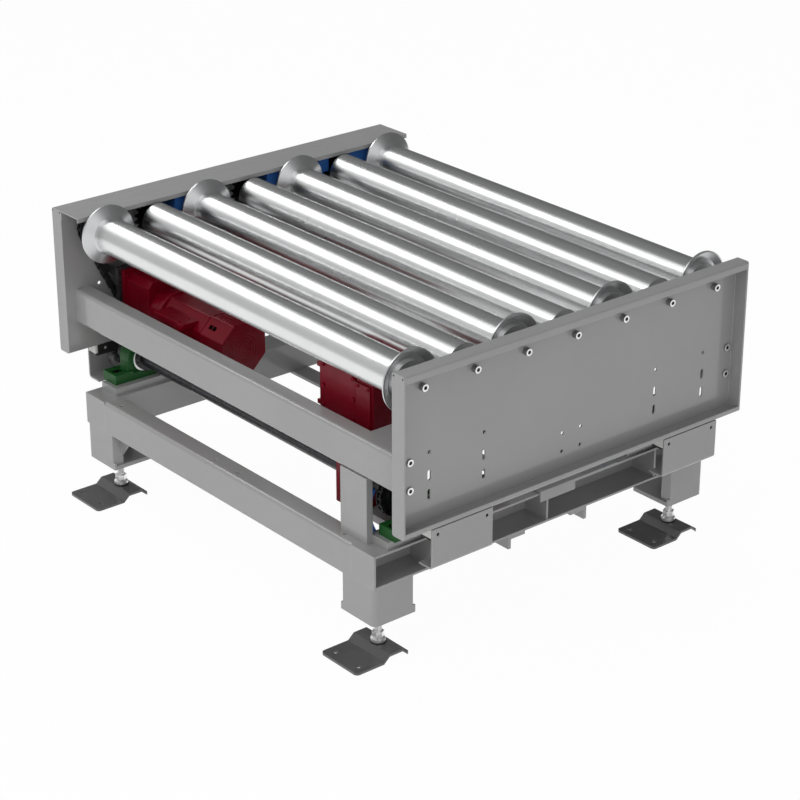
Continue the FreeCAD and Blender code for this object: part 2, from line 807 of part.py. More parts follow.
def pin_places(centres, radius):
    """The places of a chain's pins round circles of one radius, each with its outward angle, in turning order."""
    runs = []
    count = len(centres)
    for k in range(count):
        (y0, z0), (y1, z1), (y2, z2) = centres[k - 1], centres[k], centres[(k + 1) % count]
        before = math.atan2(z1 - z0, y1 - y0) - math.pi / 2
        after = math.atan2(z2 - z1, y2 - y1) - math.pi / 2
        while after < before:
            after += 2 * math.pi
        runs.append((radius * (after - before), y1, z1, before, True))
        runs.append((math.hypot(y2 - y1, z2 - z1), y1, z1, after, False))
    total = sum(run[0] for run in runs)
    links = 2 * round(total / (2 * chain_pitch.value))
    places = []
    for link in range(links):
        rest = total * link / links
        for length, y, z, angle, curved in runs:
            if rest <= length:
                break
            rest -= length
        if curved:
            angle += rest / radius
            rest = 0
        along = (radius * math.cos(angle) - rest * math.sin(angle), radius * math.sin(angle) + rest * math.cos(angle))
        places.append((y + along[0], z + along[1], angle))
    return places


def plate_wire(places, x, side):
    """The outer or inner edge of a row of link plates: a bulge at each pin and a waist between two pins."""
    bulge = chain_plate_height.value / 2
    turn = 0 if side > 0 else math.pi
    arcs = []
    for y, z, angle in places:
        middle = angle + turn
        angles = (middle - side * math.pi / 4, middle, middle + side * math.pi / 4)
        arcs.append([Vector(x, y + bulge * math.cos(a), z + bulge * math.sin(a)) for a in angles])
    edges = []
    for arc, following in zip(arcs, arcs[1:] + arcs[:1]):
        edges.append(Part.Arc(*arc).toShape())
        edges.append(Part.LineSegment(arc[2], following[0]).toShape())
    return Part.Wire(edges)


def chain_loop(label, x, centres, radius):
    """A chain round its sprockets: the two rows of side plates, which the teeth run between."""
    x = as_size(x).value
    places = pin_places(centres, radius)
    rows = []
    for start in (x - chain_inner.value / 2 - chain_plate.value, x + chain_inner.value / 2):
        wires = [plate_wire(places, start, side) for side in (1, -1)]
        face = Part.makeFace(wires, "Part::FaceMakerBullseye")
        rows.append(face.extrude(Vector(chain_plate.value, 0, 0)))
    chain = doc.addObject("Part::Feature", label)
    chain.Shape = Part.makeCompound(rows)
    return keep(label, chain)


def transfer_chain():
    """The long chain that joins the rollers, over and under all of their sprockets."""
    first, last = roller_place(1).value, roller_place(ROLLER_COUNT).value
    z = axis_z.value
    return chain_loop("transfer_chain", transfer_chain_x, [(first, z), (last, z)], pitch_radius.value)


def drive_chain():
    """The chain from the gearmotor up to the first roller."""
    centres = [(drive_axis_along.value, drive_z.value), (roller_place(1).value, axis_z.value)]
    return chain_loop("drive_chain", drive_chain_x, centres, pitch_radius.value)


def chain_guides():
    """Plastic guides of the long chain: an arm from the web between the strands, and a keeper beside the chain."""
    guides = []
    keeper = transfer_chain_x + chain_inner / 2 + chain_plate + guide_gap
    top = axis_z + pitch_radius - chain_plate_height / 2 - guide_gap
    for number, shift, low, high in GUIDE_SPANS:
        place = roller_place(number) + roller_pitch / 2 + shift
        body = new_body("Guide")
        arm = rectangle(place - guide_arm / 2, place + guide_arm / 2, axis_z - guide_arm / 2, top)
        pad(body, "x", -web_plane, keeper, arm)
        face = rectangle(place + low, place + high, axis_z + 2, axis_z + guide_top)
        pad(body, "x", keeper, keeper + guide_thickness, face)
        guides.append(body)
    return group("chain_guides", guides)


def guide_plates():
    """The plates under the deck that enclose the crank rollers: a wall, a lip below and a tab inside."""
    plates = []
    for side in (1, -1):
        for end in (1, -1):
            low = end * guide_along - guide_length / 2
            high = end * guide_along + guide_length / 2
            body = new_body("GuidePlate")
            outer = side * lip_plane
            inner = side * (lip_plane - guide_wall)
            lip_end = side * (lip_plane - guide_lip)
            bottom = channel_bottom - guide_height
            section = [
                (outer, channel_bottom),
                (outer, bottom),
                (lip_end, bottom),
                (lip_end, bottom + guide_wall),
                (inner, bottom + guide_wall),
                (inner, channel_bottom),
            ]
            pad(body, "y", low, high, section)
            near, far = sorted((outer + side, inner - side), key=lambda size: size.value)
            holes = [(place, channel_bottom - PLATE_HOLE[1], PLATE_HOLE[2]) for place in (
                low + PLATE_HOLE[0], high - PLATE_HOLE[0])]
            pocket(body, "x", near, far, circles=holes)
            bends = ((outer, bottom, guide_wall + bend_radius), (inner, bottom + guide_wall, bend_radius))
            for across, height, radius in bends:
                round_edges(
                    body,
                    ALONG_Y,
                    radius,
                    lambda p: abs(p.x - across.value) < 0.01 and abs(p.z - height.value) < 0.01,
                )
            plates.append(body)
    return group("guide_plates", plates)


def slide_strips():
    """The black sliding angles under the side channels that the crank rollers push against, with their holes."""
    strips = []
    top = channel_bottom
    seat = top - strip_block_height
    bottom = seat - strip_layer
    middle = top - strip_block_height / 2
    for side in (1, -1):
        inner, wall = side * web_plane, side * (web_plane + sheet_wall)
        layer_end = side * (lip_plane - guide_wall)
        near, far = sorted((inner - side, wall + side), key=lambda size: size.value)
        for end in (1, -1):
            low = end * guide_along - guide_length / 2
            high = end * guide_along + guide_length / 2
            body = new_body("Strip")
            section = [
                (inner, top),
                (wall, top),
                (wall, seat),
                (layer_end, seat),
                (layer_end, bottom),
                (inner, bottom),
            ]
            pad(body, "y", low, high, section)
            reach = end * (guide_along + guide_length / 2)
            notch = rectangle(reach - end * strip_notch, reach + end, seat, top + 1)
            pocket(body, "x", near, far, outlines=[notch])
            holes = [(place, middle, web_hole) for place in (low + strip_hole_inset, high - strip_hole_inset)]
            pocket(body, "x", near, far, circles=holes)
            strips.append(body)
    return group("slide_strips", strips)


def strip_blocks():
    """The white blocks between the sliding angles and the side channels."""
    blocks = []
    for side in (1, -1):
        for end in (1, -1):
            low = end * guide_along - guide_length / 2
            high = end * guide_along + guide_length / 2
            body = new_body("StripBlock")
            section = rectangle(
                side * (web_plane + sheet_wall),
                side * (lip_plane - guide_wall),
                channel_bottom - strip_block_height,
                channel_bottom,
            )
            pad(body, "y", low, high, section)
            blocks.append(body)
    return group("strip_blocks", blocks)


def drive_parts():
    """The gearmotor that turns the rollers, hung from the rear web on a plate and four studs."""
    y, z = drive_axis_along, drive_z
    plate_start = -web_plane + drive_standoff
    box_start = plate_start + drive_plate_wall
    box_end = box_start + drive_box_length
    adaptor_end = box_end + drive_adaptor_length
    motor_end = adaptor_end + drive_motor_length
    cowl_end = motor_end + drive_cowl_length
    half_width, half_height = drive_box_width / 2, drive_box_height / 2

    box = new_body("drive_gearbox")
    c = drive_box_corner
    outline = [
        (y - half_width + c, z - half_height),
        (y + half_width - c, z - half_height),
        (y + half_width, z - half_height + c),
        (y + half_width, z + half_height - c),
        (y + half_width - c, z + half_height),
        (y - half_width + c, z + half_height),
        (y - half_width, z + half_height - c),
        (y - half_width, z - half_height + c),
    ]
    pad(box, "x", box_start, box_end, outline)
    rim = drive_rim
    flange = rectangle(y - half_width - rim, y + half_width + rim, z - half_height, z + half_height + rim)
    pad(box, "x", box_start, box_start + drive_flange_length, flange)
    pad(box, "x", box_start, box_end, rectangle(y - half_width + 2 * c, y + half_width - 2 * c, z, z + half_height + rim))
    pad(box, "x", box_end, adaptor_end, circles=[(y, z, drive_adaptor_size)])
    pad(box, "x", adaptor_end - drive_flange_length, adaptor_end, circles=[(y, z, drive_flange_size)])
    pocket(box, "x", box_start - 1, box_start + 8, circles=[(y, z, drive_shaft_diameter + 1)])
    keep("drive_gearbox", box)

    motor = new_body("drive_motor")
    cut = drive_motor_size * OCTAGON_CUT
    pad(motor, "x", adaptor_end, motor_end - motor_seam, octagon(y, z, drive_motor_size, cut))
    round_edges(motor, ALONG_X, motor_corner, lambda p: True)
    seam_size = drive_motor_size - motor_seam
    pad(motor, "x", motor_end - motor_seam, motor_end, octagon(y, z, seam_size, seam_size * OCTAGON_CUT))
    keep("drive_motor", motor)

    cowl = new_body("drive_fan_cowl")
    pad(cowl, "x", motor_end, cowl_end, octagon(y, z, drive_cowl_size, drive_cowl_size * OCTAGON_CUT))
    round_edges(cowl, ALONG_X, motor_corner, lambda p: True)
    keep("drive_fan_cowl", cowl)

    terminal = new_body("drive_terminal_box")
    start = adaptor_end + drive_terminal_start
    finish = start + drive_terminal_length
    back = y - drive_motor_size / 2
    face = back - drive_terminal_depth
    facet = z + drive_motor_size / 2 - cut
    seat = facet + drive_lid_edge
    outline = [
        (face, z - drive_terminal_depth),
        (back, z - drive_terminal_depth),
        (back, facet),
        (back + drive_lid_edge, seat),
        (face, seat),
    ]
    pad(terminal, "x", start, finish, outline)
    edge = drive_lid_edge
    lid = [
        (face - edge, seat),
        (back + edge, seat),
        (back + edge + drive_lid_height, seat + drive_lid_height),
        (face - edge, seat + drive_lid_height),
    ]
    pad(terminal, "x", start - edge / 2, finish + edge / 2, lid)
    boss = drive_lid_height * 1.5
    pad(terminal, "y", face - 2 * edge, face, circles=[(finish - boss / 2, seat + edge, boss)])
    keep("drive_terminal_box", terminal)

    mount = new_body("drive_mount")
    plate = rectangle(y - half_width - 16, y + half_width + 16, z - half_height, z + half_height + 12)
    pad(mount, "x", plate_start, box_start, plate)
    pocket(mount, "x", plate_start - 1, box_start + 1, circles=[(y, z, drive_shaft_diameter + 30)])
    studs = [mount]
    for across, along in ((-1, -1), (1, -1), (-1, 1), (1, 1)):
        place_y = y + across * (half_width + 6)
        place_z = z + along * (half_height - 6)
        studs.append(rod("Stud", -web_plane, plate_start, 18, place_y, place_z))
    group("drive_mount", studs)
    return box_start


def drive_sprocket(box_start):
    """The output shaft of the drive with its sprocket."""
    y, z = drive_axis_along, drive_z
    start, end = drive_chain_x - sprocket_width / 2 - 2, drive_chain_x + sprocket_width / 2 + 8
    disc = sprocket_body(
        "OutputSprocket", drive_chain_x, y, z, sprocket_teeth, start, end, hub_diameter, drive_shaft_diameter
    )
    shaft = rod("OutputShaft", start, box_start + 7, drive_shaft_diameter, y, z)
    return group("drive_sprocket", [disc, shaft])


def base_member(label, side):
    """A long side of the base frame: a channel open outwards, closed at its ends, with ribs."""
    body = new_body(label)
    outer = side * base_half
    back = side * (base_half - member_depth)
    inner = side * (base_half - member_depth + base_wall)
    top, bottom = base_top, base_bottom
    half = base_end
    section = [
        (outer, bottom),
        (outer, bottom + base_wall),
        (inner, bottom + base_wall),
        (inner, top - base_wall),
        (outer, top - base_wall),
        (outer, top),
        (back, top),
        (back, bottom),
    ]
    pad(body, "y", -half, half, section)
    wall = rectangle(back, outer, bottom, top)
    pad(body, "y", -half, -half + base_wall, wall)
    pad(body, "y", half - base_wall, half, wall)
    for place in (-rib_along, as_size(0), rib_along):
        rib = rectangle(back, side * (base_half - RIB_SETBACK), bottom, top)
        pad(body, "y", place - base_wall / 2, place + base_wall / 2, rib)
    return keep(label, body)


def base_beam(label, end):
    """A short side of the base frame: a bent channel open downwards between the two members."""
    body = new_body(label)
    outer = end * base_end
    inner = end * (base_end - end_beam_depth)
    top, bottom = base_top, base_bottom
    reach = base_half - member_depth
    section = [
        (outer, bottom),
        (outer, top),
        (inner, top),
        (inner, bottom + base_height / 3),
        (inner + end * base_wall, bottom + base_height / 3),
        (inner + end * base_wall, top - base_wall),
        (outer - end * base_wall, top - base_wall),
        (outer - end * base_wall, bottom),
    ]
    pad(body, "x", -reach, reach, section)
    pocket(
        body,
        "z",
        top - base_wall - 1,
        top + 1,
        circles=[(place, end * (base_end - 21), 8) for place in (-reach + 46, -44, 44, reach - 46)],
    )
    round_edges(body, ALONG_X, base_wall + bend_radius, lambda p: abs(p.z - top.value) < 0.01 and abs(
        p.y - outer.value) < 0.01)
    return keep(label, body)


def leg(label, side, end):
    """A leg: two outer walls bent round a corner, narrow returns, a gusset and the nut plate for its foot."""
    body = new_body(label)
    x0, y0 = side * base_half, end * base_end
    w, t, r = leg_width, leg_wall, leg_return

    def at(across, along):
        return (x0 - side * across, y0 - end * along)

    section = [
        at(0, 0),
        at(w, 0),
        at(w, r),
        at(w - t, r),
        at(w - t, t),
        at(t, t),
        at(t, w - t),
        at(r, w - t),
        at(r, w),
        at(0, w),
    ]
    pad(body, "z", leg_bottom, base_bottom, section)
    spread = leg_foot_spread
    plate = [at(0, 0), at(w + spread, 0), at(w + spread, w + spread), at(0, w + spread)]
    pad(body, "z", leg_bottom, leg_bottom + 10, plate)
    skirt_a = [at(w, 0), at(w + spread, 0), at(w + spread, t), at(w, t)]
    skirt_b = [at(0, w), at(0, w + spread), at(t, w + spread), at(t, w)]
    for skirt in (skirt_a, skirt_b):
        pad(body, "z", leg_bottom, leg_bottom + leg_foot_height, skirt)
    gusset = [
        (x0 - side * w, base_bottom),
        (x0 - side * (w + 50), base_bottom),
        (x0 - side * w, base_bottom - leg_height * 2 / 3),
    ]
    pad(body, "y", *sorted((y0 - end * (r - t), y0 - end * r), key=lambda s: s.value), gusset)
    centre = at(w / 2, w / 2)
    pocket(
        body,
        "z",
        leg_bottom - 1,
        leg_bottom + 11,
        circles=[(centre[0], centre[1], spindle_diameter + 2 * running_fit)],
    )
    round_edges(
        body, ALONG_Z, leg_corner, lambda p: abs(p.x - x0.value) < 0.01 and abs(p.y - y0.value) < 0.01
    )
    return keep(label, body)


def lower_rails():
    """Two angle bars under the base frame, from member to member."""
    rails = []
    half = base_half
    for end in (-1, 1):
        body = new_body("Rail")
        outer = end * rail_along
        section = [
            (outer, base_bottom),
            (outer, base_bottom - rail_height),
            (outer - end * rail_wall, base_bottom - rail_height),
            (outer - end * rail_wall, base_bottom - rail_wall),
            (outer - end * rail_width, base_bottom - rail_wall),
            (outer - end * rail_width, base_bottom),
        ]
        pad(body, "x", -half, half, section)
        rails.append(body)
    return group("lower_rails", rails)


def bracket():
    """A flat bar on the front member with a tab turned down in front of it."""
    body = new_body("centre_bracket")
    outer = base_half
    wall = as_size(6)
    pad(body, "y", -30, 210, rectangle(outer - 60, outer + wall, base_top, base_top + wall))
    pad(body, "y", -30, 76, rectangle(outer + 0.3, outer + wall, base_top - 20, base_top + wall))
    return body


def guide_posts():
    """Two bent posts on the base that the lowered deck rests on, at opposite corners."""
    posts = []
    for side, end, inset in ((1, -1, near_beam_inset), (-1, 1, far_beam_inset)):
        body = new_body("Post")
        post_across = side * (base_half - post_inset)
        x0 = post_across - post_width / 2
        x1 = post_across + post_width / 2
        face = end * (deck_end - inset)
        back = face - end * post_depth
        w = post_wall
        section = [
            (x0, face),
            (x1, face),
            (x1, back),
            (x1 - w, back),
            (x1 - w, face - end * w),
            (x0 + w, face - end * w),
            (x0 + w, back),
            (x0, back),
        ]
        pad(body, "z", base_top, beam_bottom, section)
        pad(body, "z", beam_bottom - w, beam_bottom, rectangle(x0, x1, face, back))
        pad(body, "z", base_top, base_top + w, rectangle(x0, x1, face, back))
        posts.append(body)
    return posts


def bolt_places(end):
    """Where the two bolts of a bearing block stand along the conveying direction."""
    return [end * shaft_along + hand * block_bolts_span / 2 for hand in (-1, 1)]


def bolt_depth():
    """How deep the bolts of the bearing blocks reach into the spacer plates."""
    return spacer_wall * 0.75


def spacer_plates():
    """The thick plates on the base that the bearing blocks stand on."""
    plates = []
    for side in (1, -1):
        for end in (1, -1):
            body = new_body("Spacer")
            middle = side * spacer_across
            half = spacer_width / 2
            low = end * shaft_along - spacer_length / 2
            high = end * shaft_along + spacer_length / 2
            if side > 0 and end < 0:
                low = -deck_end + near_beam_inset + post_depth
            if side < 0 and end > 0:
                high = deck_end - far_beam_inset - post_depth
            pad(body, "z", base_top, base_top + spacer_wall, rectangle(middle - half, middle + half, low, high))
            holes = [(side * block_across, place, screw_diameter + 2 * running_fit) for place in bolt_places(end)]
            pocket(body, "z", base_top + spacer_wall - bolt_depth() - 1, base_top + spacer_wall + 1, circles=holes)
            plates.append(body)
    return plates


def bearing_block(y, x):
    """A cast bearing block: foot with two bolt holes, neck, round head and bore."""
    body = new_body("Block", y, base_top + spacer_wall, x)
    half = block_length / 2
    across = block_width / 2
    head = block_width / 3
    inner = half - block_slot_length * 1.5
    foot = [
        (-half, 0),
        (half, 0),
        (half, block_pad),
        (inner, block_pad),
        (inner - 4, block_foot),
        (-inner + 4, block_foot),
        (-inner, block_pad),
        (-half, block_pad),
    ]
    pad(body, "x", -across, across, foot)
    neck = [
        (-block_head / 2 - 2, block_foot - 1),
        (block_head / 2 + 2, block_foot - 1),
        (block_head / 2 - 2, block_axis_height),
        (-block_head / 2 + 2, block_axis_height),
    ]
    pad(body, "x", -head, head, neck)
    pad(body, "x", -head, head, circles=[(0, block_axis_height, block_head)])
    pocket(body, "x", -across - 1, across + 1, circles=[(0, block_axis_height, insert_diameter)])
    seat = block_pad - block_slot_depth
    wide = block_slot_width / 2
    straight = (block_slot_length - block_slot_width) / 2
    for hand in (-1, 1):
        place = hand * block_bolts_span / 2
        slot = rectangle(-wide, wide, place - straight, place + straight)
        pocket(body, "z", seat, block_pad + 1, outlines=[slot])
        for finish in (place - straight, place + straight):
            pocket(body, "z", seat, block_pad + 1, circles=[(0, finish, block_slot_width)])
        pocket(body, "z", -1, seat + 1, circles=[(0, place, screw_diameter + 2 * running_fit)])
    return body


def pillow_blocks():
    """The four bearing blocks of the lift shafts."""
    blocks = []
    for side in (1, -1):
        for end in (1, -1):
            blocks.append(bearing_block(end * shaft_along, side * block_across))
    return group("pillow_blocks", blocks + bearing_inserts())


def bearing_inserts():
    """The bearing inserts in the blocks."""
    inserts = []
    for side in (1, -1):
        for end in (1, -1):
            middle = side * block_across
            inserts.append(
                ring(
                    "Insert",
                    middle - block_width / 2 + 4,
                    middle + block_width / 2 - 4,
                    insert_diameter,
                    shaft_diameter + 2 * running_fit,
                    end * shaft_along,
                    shaft_z,
                )
            )
    return inserts


def block_bolts():
    """The socket-head bolts of the bearing blocks, sunk in their slots and screwed into the spacer plates."""
    bolts = []
    seat = block_pad - block_slot_depth
    head = screw_diameter * 1.5
    radius = screw_socket / 2 / cosine(30)
    corners = [(radius * cosine(60 * k), radius * sine(60 * k)) for k in range(6)]
    for side in (1, -1):
        for end in (1, -1):
            for place in bolt_places(end):
                bolt = new_body("BlockBolt", place, base_top + spacer_wall + seat, side * block_across)
                pad(bolt, "z", 0, screw_diameter, circles=[(0, 0, head)])
                pad(bolt, "z", -seat - bolt_depth(), 0, circles=[(0, 0, screw_diameter)])
                pocket(bolt, "z", screw_diameter / 2, screw_diameter + 1, outlines=[corners])
                bolts.append(bolt)
    return group("block_bolts", bolts)


def crank_start():
    """The distance from the middle to the inner face of a crank arm."""
    return block_across + block_width / 2 + 11


def lift_shaft(label, end):
    """A lift shaft with its crank arms and sprocket."""
    y = end * shaft_along
    inner = crank_start()
    outer = inner + crank_wall
    shaft = rod("Shaft", -outer, outer, shaft_diameter, y, shaft_z)
    pieces = [shaft]
    for side in (1, -1):
        start, finish = (inner, outer) if side > 0 else (-outer, -inner)
        arm = new_body("Arm", y, shaft_z)
        pad(arm, "x", start, finish, circles=[(0, 0, shaft_diameter + 22)])
        web = [
            (-shaft_diameter / 2 - 9, 0),
            (-crank_pin_diameter / 2 - 9, -crank_throw),
            (crank_pin_diameter / 2 + 9, -crank_throw),
            (shaft_diameter / 2 + 9, 0),
        ]
        pad(arm, "x", start, finish, web)
        pad(arm, "x", start, finish, circles=[(0, -crank_throw, crank_pin_diameter + 18)])
        pocket(arm, "x", start - 1, finish + 1, circles=[(0, 0, shaft_diameter), (0, -crank_throw, crank_pin_diameter)])
        pieces.append(arm)
        pin_end = lip_plane - guide_wall - 2
        pin_span = (inner, pin_end) if side > 0 else (-pin_end, -inner)
        pieces.append(rod("Pin", *pin_span, crank_pin_diameter, y, shaft_z - crank_throw))
    start = lift_chain_across - sprocket_width
    finish = lift_chain_across + sprocket_width
    pieces.append(
        sprocket_body(
            "LiftSprocket",
            lift_chain_across,
            y,
            shaft_z,
            lift_sprocket_teeth,
            start,
            finish,
            shaft_diameter + 24,
            shaft_diameter,
        )
    )
    return group(label, pieces)


def crank_rollers(label, end):
    """The rollers on the crank pins of one lift shaft."""
    y = end * shaft_along
    finish = lip_plane - guide_wall - 3
    start = finish - crank_roller_width
    rollers = []
    for side in (1, -1):
        span = (start, finish) if side > 0 else (-finish, -start)
        rollers.append(
            ring(
                "CrankRoller",
                *span,
                crank_roller_diameter,
                crank_pin_diameter + 2 * running_fit,
                y,
                shaft_z - crank_throw,
            )
        )
    return group(label, rollers)


def lift_sprocket_radius():
    """The pitch radius of the lift sprockets."""
    return chain_pitch / (2 * sine(180 / lift_sprocket_teeth.value))


def lift_chain():
    """The chain that makes both lift shafts turn together."""
    y, z = shaft_along.value, shaft_z.value
    return chain_loop("lift_chain", lift_chain_across, [(-y, z), (y, z)], lift_sprocket_radius().value)


def lift_drive():
    """The gearmotor of the lift: a hollow-shaft gearbox on the near lift shaft, with its motor lying inwards."""
    x, y = base_half - lift_box_inset, -shaft_along
    top = axis_z - roller_diameter / 2 - lift_box_gap
    step = shaft_z + lift_box_step_rise
    back = y - lift_box_depth / 2 + 5
    front = y + lift_box_depth / 2 + 5
    low = shaft_z - lift_housing_reach
    half = lift_box_width / 2
    housing = lift_housing_width / 2
    corner = lift_box_corner

    box = new_body("lift_gearbox")
    outline = [
        (x - half, step),
        (x - housing, step - 4 * corner),
        (x - housing, low),
        (x + housing, low),
        (x + housing, step - 4 * corner),
        (x + half, step),
        (x + half, top - corner),
        (x + half - corner, top),
        (x - half + corner, top),
        (x - half, top - corner),
    ]
    pad(box, "y", back, front, outline)
    groove = x + lift_groove_shift
    cover = rectangle(groove + lift_groove, x + half - corner / 2, step + corner, top - 2 * corner)
    pad(box, "y", back - corner / 2, back, cover)
    for height in (step + corner, top - 3 * corner):
        lug = rectangle(x - half - corner, x - half, height, height + corner)
        pad(box, "y", back, back + 2 * corner, lug)
    motor_x, motor_z = x + lift_motor_shift, shaft_z + lift_motor_rise
    adaptor_end = front + lift_adaptor_length
    pad(box, "y", front - 1, adaptor_end, circles=[(motor_x, motor_z, lift_motor_size)])
    bore = shaft_diameter + 2 * running_fit
    pocket(box, "x", x - half - 1, x + half + 1, circles=[(y, shaft_z, bore)])
    pocket(box, "y", back - 1, back + corner / 2, outlines=[rectangle(groove, groove + lift_groove, step, top + 1)])
    keep("lift_gearbox", box)

    motor_end = adaptor_end + lift_motor_length
    motor = new_body("lift_motor")
    cut = lift_motor_size * OCTAGON_CUT
    pad(motor, "y", adaptor_end, motor_end, octagon(motor_x, motor_z, lift_motor_size, cut))
    round_edges(motor, ALONG_Y, motor_corner, lambda p: True)
    cowl = octagon(motor_x, motor_z, lift_cowl_size, lift_cowl_size * OCTAGON_CUT)
    pad(motor, "y", motor_end, motor_end + lift_cowl_length, cowl)
    reach = motor_x - lift_motor_size / 2
    start = adaptor_end + 2 * corner
    terminal = rectangle(
        reach - lift_terminal_depth, reach, motor_z - 2 * corner, motor_z - 2 * corner + lift_terminal_height)
    pad(motor, "y", start, start + lift_terminal_length, terminal)
    keep("lift_motor", motor)

    bar = new_body("torque_arm")
    seat = base_half - member_depth
    pad(bar, "z", low - arm_bar_wall, low, rectangle(x - housing, seat, y - arm_bar_width / 2, y + arm_bar_width / 2))
    keep("torque_arm", bar)


def chain_guards():
    """Guards of the lift chain beside the front bearing blocks: upright blocks hollowed round the sprocket."""
    guards = []
    finish = spacer_across - spacer_width / 2
    for end in (1, -1):
        y = end * shaft_along
        for hand in (1, -1):
            body = new_body("Guard")
            outline = rectangle(y + hand * guard_radius * 0.6, y + hand * guard_reach, base_top, shaft_z + guard_rise)
            pad(body, "x", finish - guard_width, finish, outline)
            circle = (y, shaft_z, 2 * guard_radius)
            pocket(body, "x", finish - guard_width - 1, finish + 1, circles=[circle])
            guards.append(body)
    return group("chain_guards", guards)


def foot_parts(number, side, end):
    """One levelling foot: a plate with a raised ridge and the threaded spindle that stands on it."""
    x0 = side * (base_half - leg_width / 2)
    y0 = end * (base_end - leg_width / 2)
    heel = y0 + foot_heel
    toe = heel - foot_plate_length
    t = foot_plate_wall
    top0, top1 = y0 - foot_ridge_top / 2, y0 + foot_ridge_top / 2
    ramp = foot_ridge_ramp
    rise = foot_ridge_height
    plate = new_body("FootPlate")
    section = [
        (toe, 0),
        (top0 - ramp, 0),
        (top0, rise),
        (top1, rise),
        (top1 + ramp, 0),
        (heel, 0),
        (heel, t),
        (top1 + ramp, t),
        (top1, rise + t),
        (top0, rise + t),
        (top0 - ramp, t),
        (toe, t),
    ]
    pad(plate, "x", x0 - foot_plate_width / 2, x0 + foot_plate_width / 2, section)
    holes = [(x0 + sign * (foot_plate_width / 2 - 22), toe + 24, foot_hole) for sign in (-1, 1)]
    pocket(plate, "z", -1, t + 1, circles=holes)
    round_edges(
        plate,
        ALONG_Z,
        10,
        lambda p: min(abs(p.y - toe.value), abs(p.y - heel.value)) < 0.01,
    )
    keep(f"foot_plate_{number}", plate)
    seat = rise + t
    half = spindle_diameter / 2
    spindle_top = leg_bottom + leg_height * spindle_share
    outline = [
        (seat, 0),
        (seat, 17),
        (seat + 9, 17),
        (seat + 14, 12),
        (seat + 14, half),
        (spindle_top, half),
        (spindle_top, 0),
    ]
    spindle = revolve("Spindle", outline, y0, 0, x0, axis="z")
    nut = new_body("Nut", y0, seat + 14, x0)
    radius = as_size(13.9)
    corners = [(radius * cosine(60 * k), radius * sine(60 * k)) for k in range(6)]
    pad(nut, "z", 0, 12, corners)
    pocket(nut, "z", -1, 13, circles=[(0, 0, spindle_diameter)])
    group(f"foot_spindle_{number}", [spindle, nut])


side_channel("side_channel_front", 1)
side_channel("side_channel_rear", -1)
chain_cover()
cross_beam("cross_beam_near", -deck_end + near_beam_inset, 1, near_beam_width, end_plate=True)
cross_beam("cross_beam_far", deck_end - far_beam_inset, -1, far_beam_width)
deck_screws()
roller_axles()
roller_bearings()
for number in range(1, ROLLER_COUNT + 1):
    roller(number)
for number in FLANGED_ROLLERS:
    roller_flanges(number)
transfer_chain()
drive_chain()
chain_guides()
guide_plates()
slide_strips()
strip_blocks()
drive_sprocket(drive_parts())
base_member("base_member_front", 1)
base_member("base_member_rear", -1)
base_beam("base_beam_near", -1)
base_beam("base_beam_far", 1)
corners = [(1, -1), (1, 1), (-1, 1), (-1, -1)]
for number, (side, end) in enumerate(corners, 1):
    leg(f"leg_{number}", side, end)
    foot_parts(number, side, end)
lower_rails()
group("base_fittings", [bracket()] + guide_posts() + spacer_plates())
pillow_blocks()
block_bolts()
lift_shaft("lift_shaft_near", -1)
lift_shaft("lift_shaft_far", 1)
crank_rollers("crank_rollers_near", -1)
crank_rollers("crank_rollers_far", 1)
lift_drive()
lift_chain()
chain_guards()

doc.recompute()
for item in doc.Objects:
    if any(word in item.State for word in ("Invalid", "Error")):
        raise ValueError(f"{item.Label} has failed")
for label, item in nodes.items():
    if item.Shape.isNull() or not item.Shape.isValid():
        raise ValueError(f"{label} has no valid shape")

os.makedirs("parts", exist_ok=True)
for label, item in nodes.items():
    item.Shape.exportStep(f"parts/{label}.step")
print(len(nodes), "nodes written")
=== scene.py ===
"""Right-angle transfer conveyor: the finishes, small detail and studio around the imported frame."""

import logging
import math
from dataclasses import dataclass, field
from enum import Enum

import bmesh
import bpy
from mathutils import Matrix, Vector


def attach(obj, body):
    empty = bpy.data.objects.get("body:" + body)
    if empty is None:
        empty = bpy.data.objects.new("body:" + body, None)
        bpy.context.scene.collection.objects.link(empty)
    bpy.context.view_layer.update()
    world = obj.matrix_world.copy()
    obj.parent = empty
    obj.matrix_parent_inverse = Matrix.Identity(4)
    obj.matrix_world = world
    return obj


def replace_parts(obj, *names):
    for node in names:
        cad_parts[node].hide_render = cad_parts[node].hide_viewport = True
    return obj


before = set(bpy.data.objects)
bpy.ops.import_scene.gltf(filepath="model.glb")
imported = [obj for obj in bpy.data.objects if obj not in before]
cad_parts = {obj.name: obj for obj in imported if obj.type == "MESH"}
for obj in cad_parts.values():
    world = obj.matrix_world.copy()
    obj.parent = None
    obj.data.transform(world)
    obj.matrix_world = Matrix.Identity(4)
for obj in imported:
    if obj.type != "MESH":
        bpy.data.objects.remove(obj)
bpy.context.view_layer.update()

log = logging.getLogger("conveyor")

ROLLER_AXIS_HEIGHT = 0.666
ROLLERS = range(1, 8)
FLANGED_ROLLERS = (1, 3, 5, 7)
FEET = range(1, 5)
WHITE = (1.0, 1.0, 1.0, 1.0)
NOISE_RANGE = (0.3, 0.7)
EDGE_HIGHLIGHT_RANGE = (0.995, 0.85)
EDGE_SAMPLES = 4
MIX_SHARE, MIX_FIRST, MIX_SECOND, MIX_RESULT = 0, 6, 7, 2


class Slot(Enum):
    """The record's material slots, which each new piece names."""

    FRAME = "frame_paint"
    ZINC = "roller_zinc"
    STEEL = "bare_steel"
    BLACK_STEEL = "black_steel"
    MOTOR = "motor_paint"
    BLACK_PLASTIC = "black_plastic"


